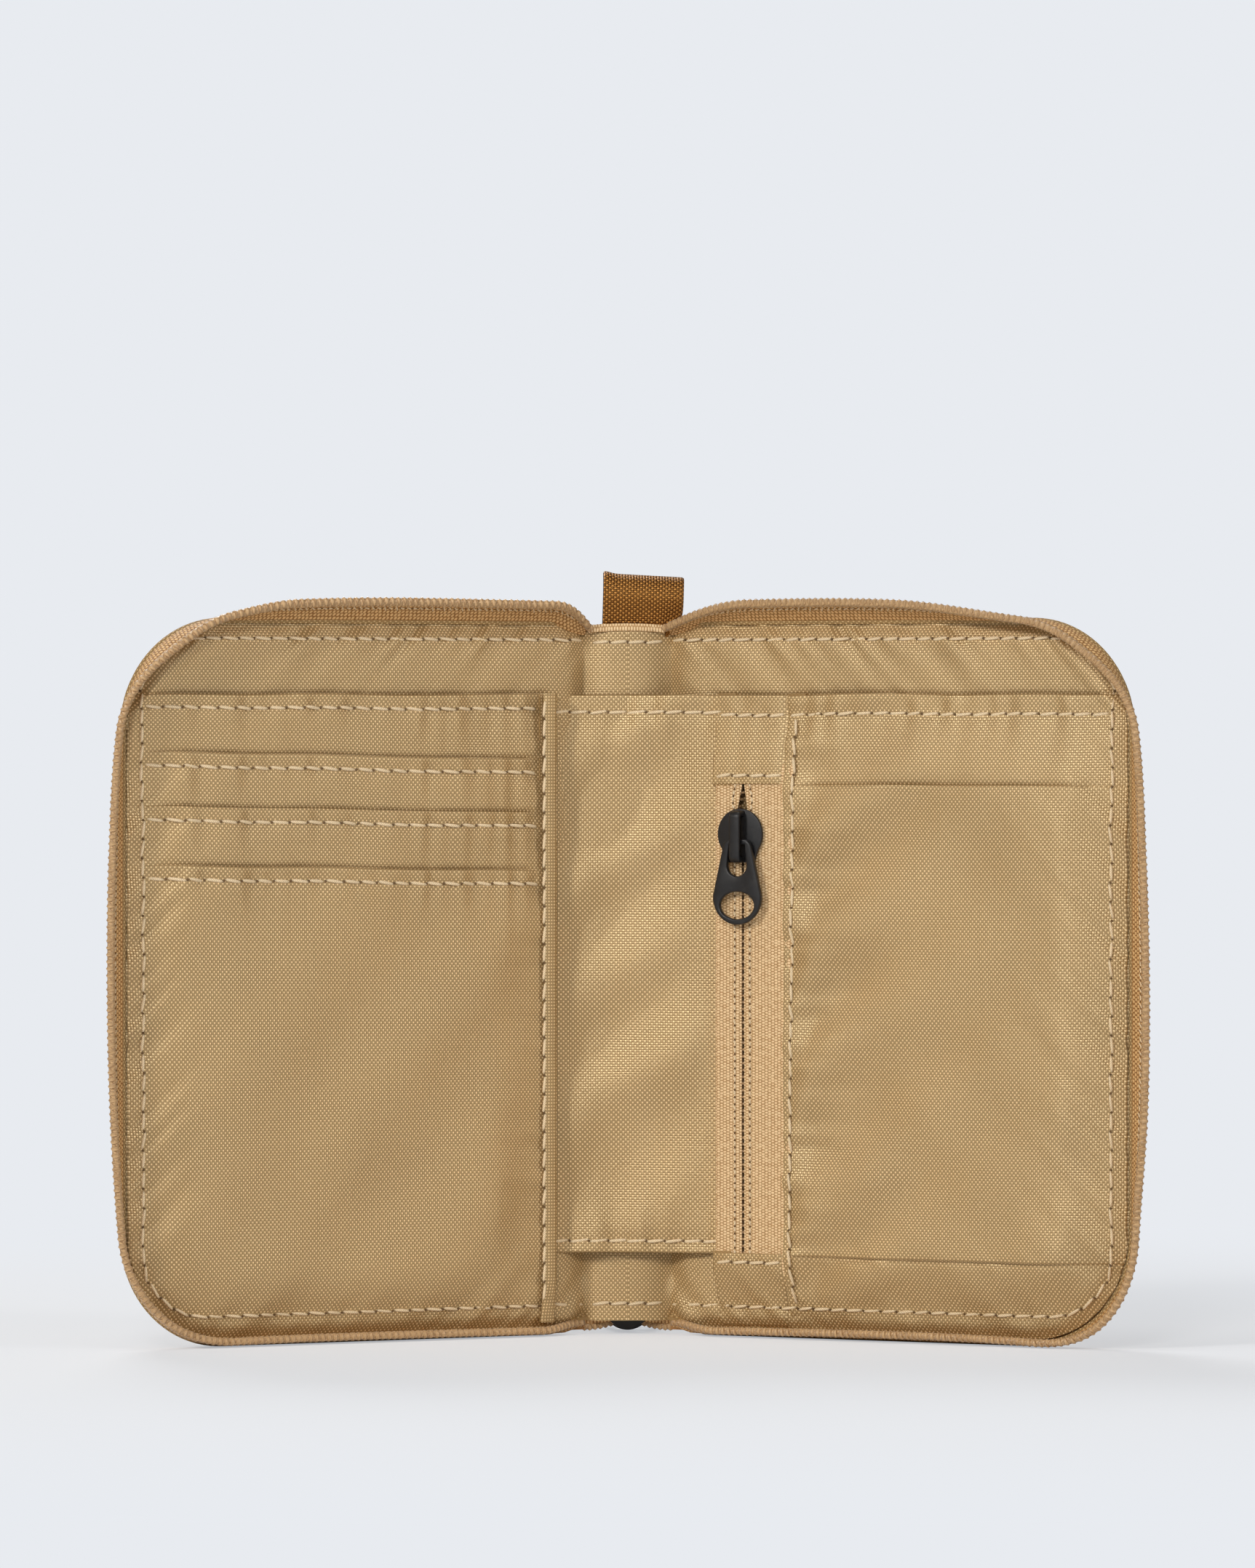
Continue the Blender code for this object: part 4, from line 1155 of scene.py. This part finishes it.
def make_inner_zip():
    """The two tapes of the inner zip with their rows of stitching, and the coil on their hidden side."""
    sewn = Stitching()
    normal = leaf_normal(1)
    foot, top = ZIP_OPENING
    heights = steps(foot - 4, top + 4, 0.9)
    for side, hand in SIDES.items():
        name = "inner_tape_" + hand
        rows = rows_of(heights, steps(0.0, 1.0, 0.08), lambda z, share: inner_tape_point(side, z, share))
        sheet(name + "_cloth", rows, "tape", normal, "right_leaf", [name], INNER_TAPE_CLOTH, "stretched")
        line = [(ZIP_CENTRE + side * (ZIP_ROW + parting(z) - ZIP_GAP), z) for z in heights[4:-4:4]]
        sewn.row(line, lambda u, z: on_leaf(1, u, z, tape_depth(u, z) + 0.03), normal, 1.4, 0.8, 0.26)
        name = "inner_coil_" + hand
        made = (name + "_teeth", "right_leaf", [name], lambda run: inner_coil(side, run), top - foot)
        coil_piece(*made, INNER_COIL_HALF, INNER_COIL_WIRE, INNER_COIL_CORE)
    sewn.piece("inner_tape_stitches", "zip_tape", "right_leaf")


# Spine
def bridge_line(share, z=0.0):
    """The loose panel's line in plan, from the left leaf to the right one; it sags most at its top left."""
    left = on_leaf(-1, BRIDGE_LEFT[0], 0, BRIDGE_LEFT[1])
    right = on_leaf(1, BRIDGE_RIGHT[0], 0, BRIDGE_RIGHT[1])
    sag = mix(*BRIDGE_SAG, smooth((z - 40) / 80)) * math.sin(math.pi * share**BRIDGE_SKEW)
    return left.lerp(right, share) + Vector((0, sag * MM, 0))


def bridge_point(share, z, back=0.0):
    """A point of the loose panel, which hangs in slanting folds in front of the spine's lining."""
    low, high = BRIDGE_HEIGHTS
    a = share * BRIDGE_CLOTH
    loose = smooth(share * 4) * smooth((1 - share) * 4)
    wave = (0.9 * creases(-a, z, 71) + DRAG * drag_folds(a, z + 9, 40)) * loose
    pull = seam_dip(z - low - BRIDGE_SEAMS[0], a) + seam_dip(z - high + BRIDGE_SEAMS[1], a)
    lift = sway(a, 72) * 1.2 * (smooth((z - high + 20) / 20) - smooth((low + 20 - z) / 20) * 0.6)
    place = bridge_line(share, z) + Vector((0, pull - wave, z + lift)) * MM
    place.y = min(place.y, (HINGE_Y - SPINE_LINING - BRIDGE_REST) * MM) + back * MM
    return place


def make_bridge():
    low, high = BRIDGE_HEIGHTS
    line = hemmed(steps(low + 1, high - 1, 1.1), low, high)
    middle = 0.5 - (bridge_line(0.5).x / (bridge_line(1.0).x - bridge_line(0.0).x))
    towards = Vector((0, -1, 0))

    def on_bridge(a, z):
        return bridge_point(a / BRIDGE_CLOTH, z) + towards * STITCH_LIFT * MM

    for side, hand in SIDES.items():
        end = 0.0 if side < 0 else 1.0
        shares = [mix(middle, end, k / 16) for k in range(17)]
        rows = []
        for z, back, run in line:
            rows.append([(bridge_point(s, z, back), (s * BRIDGE_CLOTH, run)) for s in shares])
        nodes = ["bridge_panel"] * (side < 0)
        sheet(f"bridge_{hand}_cloth", rows, "lining", towards, side, nodes, held="hung")
        sewn = Stitching()
        for z in (low + BRIDGE_SEAMS[0], high - BRIDGE_SEAMS[1]):
            sewn.row([(mix(middle, end, k / 10) * BRIDGE_CLOTH, z) for k in range(11)], on_bridge, towards)
        sewn.piece(f"bridge_{hand}_stitches", "lining_fabric", side)


def make_loop():
    """The flat webbing loop over the spine's top, doubled and sewn into the top seam."""
    line = [(1.5, LOOP_FOOT), (1.5, 137.0), (1.5, 139.6), (2.0, 142.0)]
    for c, s in arc((0, 0), 1.0, 5, 172, 12):
        line.append((0.3 + LOOP_BULGE * c, mix(LOOP_TURN, LOOP_TOP, s)))
    line += [(-1.7, 142.6), (0.3, 140.0), (0.6, 137.0), (0.6, LOOP_FOOT)]

    def place(x, station):
        (depth, z), run = station
        sewn = min(x, LOOP_SEWN)
        corner = 0.5 * math.exp(-(((x - LOOP_EDGES[0]) / 1.5) ** 2))
        level = z - LOOP_TILT * (x - 3.0) * smooth((z - 139) / 8) + corner * smooth((z - 146) / 4)
        across = mix(sewn, x, smooth((z - 137.5) / 3)) + LOOP_LEAN * (z - 141)
        return on_spine(across, level, depth + 0.05 * (sewn - 3)), (x, run)

    rows = rows_of(steps(*LOOP_EDGES, 0.8), list(zip(line, lengths(line))), place)
    sheet("loop_webbing", rows, "webbing", (0, 0, 1), "spine", ["webbing_loop"], LOOP_CLOTH, "folded", True)


def make_spine_binding():
    """The ribbed tape rolled over the spine's top edge."""

    def place(x, k):
        rib = 0.04 * math.cos(2 * math.pi * x / 0.75)
        dip = 0.5 * (x / HINGE_X) ** 2
        angle = math.radians(mix(-40, 220, k / 10))
        depth = SPINE_LINING - 0.3 + (0.75 + rib) * math.cos(angle)
        z = SPINE_HEIGHTS[1] - 0.1 - dip + (0.95 + rib) * math.sin(angle)
        return on_spine(x, z, depth), (k * 0.3, x)

    rows = rows_of(steps(-HINGE_X + 0.8, HINGE_X - 1.2, 0.25), range(11), place)
    sheet("spine_top_tape", rows, "tape", (0, -0.5, 1), "spine", ["spine_top_binding"], BIAS_CLOTH)


def make_end_tab():
    """The closed end of the main zip on the back of the spine, split below for the slider's post."""
    half, foot, top = END_TAB

    def place(z, share):
        gap = 0.7 * smooth((22 - z) / 1.5) * math.copysign(1, share)
        x = mix(gap, math.copysign(half, share), abs(share))
        return on_spine(x, z, -PARKED[0] + 2.2 * smooth((z - top + 3) / 3)), (x, z)

    rows = rows_of(steps(foot, top, 0.8), steps(-1.0, 1.0, 0.1), place)
    sheet("zip_end_cloth", rows, "tape", (0, 1, 0), "spine", ["zip_end_tab"], INNER_TAPE_CLOTH)


# Slider and pull
def plate(outline, low, high, bevel, holes=()):
    """A flat plate in the slider's frame, with rounded edges."""
    bm = bmesh.new()
    edges = []
    for loop in (outline, *holes):
        verts = [bm.verts.new((a, -low, b)) for a, b in loop]
        edges += [bm.edges.new((verts[i - 1], v)) for i, v in enumerate(verts)]
    if holes:
        bmesh.ops.triangle_fill(bm, use_beauty=True, edges=edges)
    else:
        bm.faces.new(bm.verts[:])
    lifted = bmesh.ops.extrude_face_region(bm, geom=bm.faces[:], use_keep_orig=True)
    moved = [v for v in lifted["geom"] if isinstance(v, bmesh.types.BMVert)]
    bmesh.ops.translate(bm, verts=moved, vec=(0, low - high, 0))
    bmesh.ops.recalc_face_normals(bm, faces=bm.faces)
    sharp = [e for e in bm.edges if e.calc_face_angle() > math.radians(60)]
    bmesh.ops.bevel(bm, geom=sharp, offset=bevel, segments=3, profile=0.5, affect="EDGES", clamp_overlap=True)
    return bm


def bridge_bar():
    """The bar over the slider that holds the pull."""
    low, high = BAR_ENDS
    under, over = BAR_TOPS
    outer = over - under + BAR_LEG / 2
    inner = outer - BAR_LEG / 2
    base = SLIDER_PLATES[0][0] + 0.2
    profile = [(low, base)]
    profile += arc((low + outer, over - outer), outer, 180, 90, 8)
    profile += arc((high - outer, over - outer), outer, 90, 0, 8)
    profile += [(high, base), (high - BAR_LEG, base)]
    profile += arc((high - BAR_LEG - inner, under - inner), inner, 0, 90, 6)
    profile += arc((low + BAR_LEG + inner, under - inner), inner, 90, 180, 6)
    profile += [(low + BAR_LEG, base)]
    bm = plate(profile, -BAR_WIDTH / 2, BAR_WIDTH / 2, 0.3)
    for v in bm.verts:
        along, across, out = v.co
        v.co = (across, -out, along)
    bmesh.ops.recalc_face_normals(bm, faces=bm.faces)
    return bm


def slider_shapes():
    shapes = [bridge_bar()]
    radius, centre = SLIDER_HEAD
    half, foot = SLIDER_TAIL
    for shrink, (low, high) in zip((0.0, 0.4), SLIDER_PLATES):
        outline = arc((0.0, centre), radius - shrink, -36, 216, 44)
        outline += arc((-half - shrink + 0.9, foot + shrink + 0.9), 0.9, 180, 270, 5)
        outline += arc((half - shrink - 0.9, foot + shrink + 0.9), 0.9, 270, 360, 5)
        shapes.append(plate(outline, low, high, 0.2))
    near, far, low, high = SLIDER_FLANGE
    for hand in (-1, 1):
        a, b = sorted((hand * near, hand * far))
        wall = [(a, low), (b, low), (b, high), (a, high)]
        shapes.append(plate(wall, SLIDER_PLATES[1][0] + 0.2, -0.5, 0.12))
    post = [(-0.5, 2.2), (0.5, 2.2), (0.5, 4.8), (-0.5, 4.8)]
    shapes.append(plate(post, SLIDER_PLATES[1][0] + 0.2, SLIDER_PLATES[0][1] - 0.2, 0.1))
    return shapes


def pull_shape():
    """The pull tab: an eye for the bridge and a hole in its wide round foot."""
    wide, shoulder, top = PULL_TOP
    outline = arc((wide - shoulder, top - shoulder), shoulder, 0, 90, 6)
    outline += arc((shoulder - wide, top - shoulder), shoulder, 90, 180, 6)
    outline += arc((0.0, PULL_FOOT - PULL_LENGTH), PULL_FOOT, 175, 365, 40)
    near, far, reach = PULL_EYE
    eye = [(-near, -top), (near, -top)]
    eye += arc((0.0, far - reach), far, 0, -180, 20)
    across, along, centre = PULL_HOLE
    hole = [(across * a, centre + along * b) for a, b in arc((0.0, 0.0), 1.0, 0, 352.5, 47)]
    return plate(outline, -PULL_THICKNESS / 2, PULL_THICKNESS / 2, 0.3, (eye, hole))


def metal_piece(name, shapes, place):
    """One piece from slider-frame shapes, put in the world; it rides on the body of its own name."""
    whole = bmesh.new()
    for bm in shapes:
        part = bpy.data.meshes.new(name + "_part")
        bm.to_mesh(part)
        bm.free()
        whole.from_mesh(part)
        bpy.data.meshes.remove(part)
    whole.transform(Matrix.Scale(MM, 4) @ place)
    mesh = bpy.data.meshes.new(name)
    whole.to_mesh(mesh)
    whole.free()
    mesh.materials.append(FINISHES["metal"])
    mesh.shade_smooth()
    mesh.set_sharp_from_angle(angle=math.radians(40))
    piece = bpy.data.objects.new(name + "_metal", mesh)
    bpy.context.scene.collection.objects.link(piece)
    dress(piece, name, [name])


def make_sliders():
    at_fold = Matrix.Translation((HINGE_X, HINGE_Y, 0)) @ Matrix.Rotation(-OPEN_ANGLE, 4, "Z")
    inner = at_fold @ Matrix.Translation((ZIP_CENTRE, HINGE_DEPTH - ZIP_TAPE, SLIDER_HEIGHT))
    parked = Matrix.Translation((0, HINGE_Y + PARKED[0], PARKED[1])) @ Matrix.Rotation(math.pi, 4, "X")
    along, out = PIVOT
    pivot = Matrix.Translation((0, -out, along))
    turned = pivot @ Matrix.Rotation(PARKED_ANGLE, 4, "X")
    for which, place, swing in (("inner", inner, pivot), ("main", parked, turned)):
        metal_piece(which + "_slider", slider_shapes(), place)
        metal_piece(which + "_pull", [pull_shape()], place @ swing)


# Rows of stitches
def edge_line(start):
    """The row of stitches round a leaf, from beside the spine's top to beside its foot."""
    right, top = LEAF_WIDTH - EDGE_STITCH, LEAF_HEIGHT - EDGE_STITCH
    inner = right - SEAM_CORNER
    line = [(u, top) for u in steps(start, inner, 3.0)]
    line += arc((inner, top - SEAM_CORNER), SEAM_CORNER, 90, 0, 10)[1:]
    line += [(right, z) for z in steps(FOOT_STITCH + SEAM_CORNER, top - SEAM_CORNER, 3.0)[::-1]][1:]
    line += arc((inner, FOOT_STITCH + SEAM_CORNER), SEAM_CORNER, 0, -90, 10)[1:]
    return line + [(u, FOOT_STITCH) for u in steps(start, inner, 3.0)[::-1]][1:]


def level_line(side, left, right, z):
    """A row along a panel's upper edge, which wanders with it."""
    return [(u, z + sway(u, SWAY_SEEDS[side])) for u in steps(left, right, 4.0)]


def on_shell(side, u, z):
    """A point just outside a leaf's cover."""
    return on_leaf(side, u, z, shell_round(z, u) - STITCH_LIFT)


def make_stitches():
    left, right = Stitching(), Stitching()
    facing = {side: leaf_normal(side) for side in SIDES}

    def on_left(u, z):
        return on_leaf(-1, u, z + slant(-1, u, z), left_front(u, z) + STITCH_LIFT)

    def on_right(u, z):
        return on_leaf(1, u, z, right_front(u, z) + STITCH_LIFT)

    left.row(edge_line(1.0), on_left, facing[-1])
    right.row(edge_line(1.0), on_right, facing[1])
    for top in CARD_TOPS:
        left.row(level_line(-1, BINDING_SEAM, ROW_END, top - SLOT_SEAM - 0.1), on_left, facing[-1])
    binding = [(BINDING[1], z) for z in steps(7.0, CARD_TOPS[0] - 1, 4.0)]
    left.row(binding, lambda u, z: on_leaf(-1, u, z, BINDING_DEPTHS[1] - 0.1), facing[-1])
    for ends in (TAB_ROW, (FRONT_LEFT + 0.5, ROW_END)):
        right.row(level_line(1, *ends, POCKET_TOP - POCKET_SEAM), on_right, facing[1])
    for z in (ZIP_OPENING[1] + TAB_SEAMS[1], ZIP_OPENING[0] - TAB_SEAMS[0]):
        right.row([(u, z) for u in TAB_ROW], on_right, facing[1])
    beside = [(zip_stitch(z), z) for z in steps(6.5, POCKET_TOP - 4.5, 4.0)]
    right.row(beside, lambda u, z: on_leaf(1, u, z, sleeve_depth(u, z) + STITCH_LIFT), facing[1])
    left.piece("left_stitches", "lining_fabric", "left_leaf")
    right.piece("right_stitches", "lining_fabric", "right_leaf")
    spine = Stitching()
    for z in (SPINE_HEIGHTS[1] - 2.9, 6.0):
        ends = [(x, z) for x in steps(-7.0, 7.0, 2.0)]
        spine.row(ends, lambda a, b: on_spine(a, b, spine_front(a, b) + STITCH_LIFT), Vector((0, -1, 0)))
    spine.piece("spine_stitches", "lining_fabric", "spine")
    for side, hand in SIDES.items():
        back = Stitching()
        back.row(edge_line(3.0), lambda u, z: on_shell(side, u, z), -facing[side])
        back.piece(hand + "_shell_stitches", "shell_fabric", hand + "_leaf")


# Stage, light and camera
def shown_apart(made, lit, seen, output):
    """Ends a material or a world that looks one way to the light and another to the camera."""
    rays = made.put("ShaderNodeLightPath")
    made.fill(made.tree.nodes[output], Surface=made.shaders(rays.outputs["Is Camera Ray"], lit, seen))


def make_stage():
    """A paper floor that fades into the plain backdrop round the wallet."""
    bpy.ops.mesh.primitive_plane_add(size=8.0)
    floor = bpy.context.object
    floor.name = "floor"
    paper = bpy.data.materials.new("floor_paper")
    made = Wiring(paper)
    made.tree.nodes.remove(made.tree.nodes["Principled BSDF"])
    diffuse = made.put("ShaderNodeBsdfDiffuse", Color=(0.93, 0.94, 0.96)).outputs["BSDF"]
    glow = made.put("ShaderNodeEmission", Color=BACKDROP).outputs["Emission"]
    reach = made.put("ShaderNodeVectorMath")
    reach.operation = "LENGTH"
    made.wire(made.put("ShaderNodeNewGeometry").outputs["Position"], reach.inputs[0])
    fade = made.scaled(reach.outputs["Value"], *FLOOR_FADE, 0.5, 0.0)
    shown_apart(made, diffuse, made.shaders(fade, glow, diffuse), "Material Output")
    floor.data.materials.append(paper)


def make_world():
    world = bpy.data.worlds.new("studio")
    bpy.context.scene.world = world
    made = Wiring(world)
    room = made.fill(made.tree.nodes["Background"], Color=(0.93, 0.96, 1.0), Strength=0.12)
    wall = made.put("ShaderNodeBackground", Color=BACKDROP)
    shown_apart(made, room.outputs["Background"], wall.outputs["Background"], "World Output")


def add_light(name, place, size, power, colour):
    data = bpy.data.lights.new(name, "AREA")
    data.shape = "DISK"
    data.size = size
    data.energy = power
    data.color = colour
    light = bpy.data.objects.new(name, data)
    light.location = place
    aim = Vector((0.0, 0.0, 0.07)) - light.location
    light.rotation_euler = aim.to_track_quat("-Z", "Y").to_euler()
    bpy.context.scene.collection.objects.link(light)


def make_lights():
    add_light("key", (-1.35, -1.45, 0.95), 0.35, 16.5, (1.0, 0.97, 0.93))
    add_light("fill", (1.8, -0.95, 0.7), 0.5, 10.0, (1.0, 0.98, 0.96))
    add_light("front", (-0.25, -1.8, 0.85), 0.4, 10.5, (1.0, 0.98, 0.95))
    add_light("top", (-0.2, -0.35, 1.5), 0.6, 3.5, (1.0, 0.99, 0.97))
    add_light("back", (-0.3, 0.9, 1.0), 0.6, 7.0, (1.0, 0.99, 0.97))


def make_camera():
    data = bpy.data.cameras.new("camera")
    data.sensor_fit = "VERTICAL"
    data.sensor_height = 36.0
    data.lens = FOCAL_PIXELS * data.sensor_height / PHOTO_SIZE[1]
    camera = bpy.data.objects.new("camera", data)
    camera.location = (0.0, HINGE_Y * MM - CAMERA_DISTANCE, CAMERA_HEIGHT)
    camera.rotation_euler = (math.pi / 2 - math.atan(CAMERA_TILT / FOCAL_PIXELS), 0.0, 0.0)
    bpy.context.scene.collection.objects.link(camera)
    bpy.context.scene.camera = camera


make_covers()
make_main_zip()
make_card_side()
make_pocket_side()
make_bridge()
make_loop()
make_spine_binding()
make_end_tab()
make_sliders()
make_stitches()
make_stage()
make_world()
make_lights()
make_camera()
bpy.context.scene.view_settings.view_transform = "Standard"
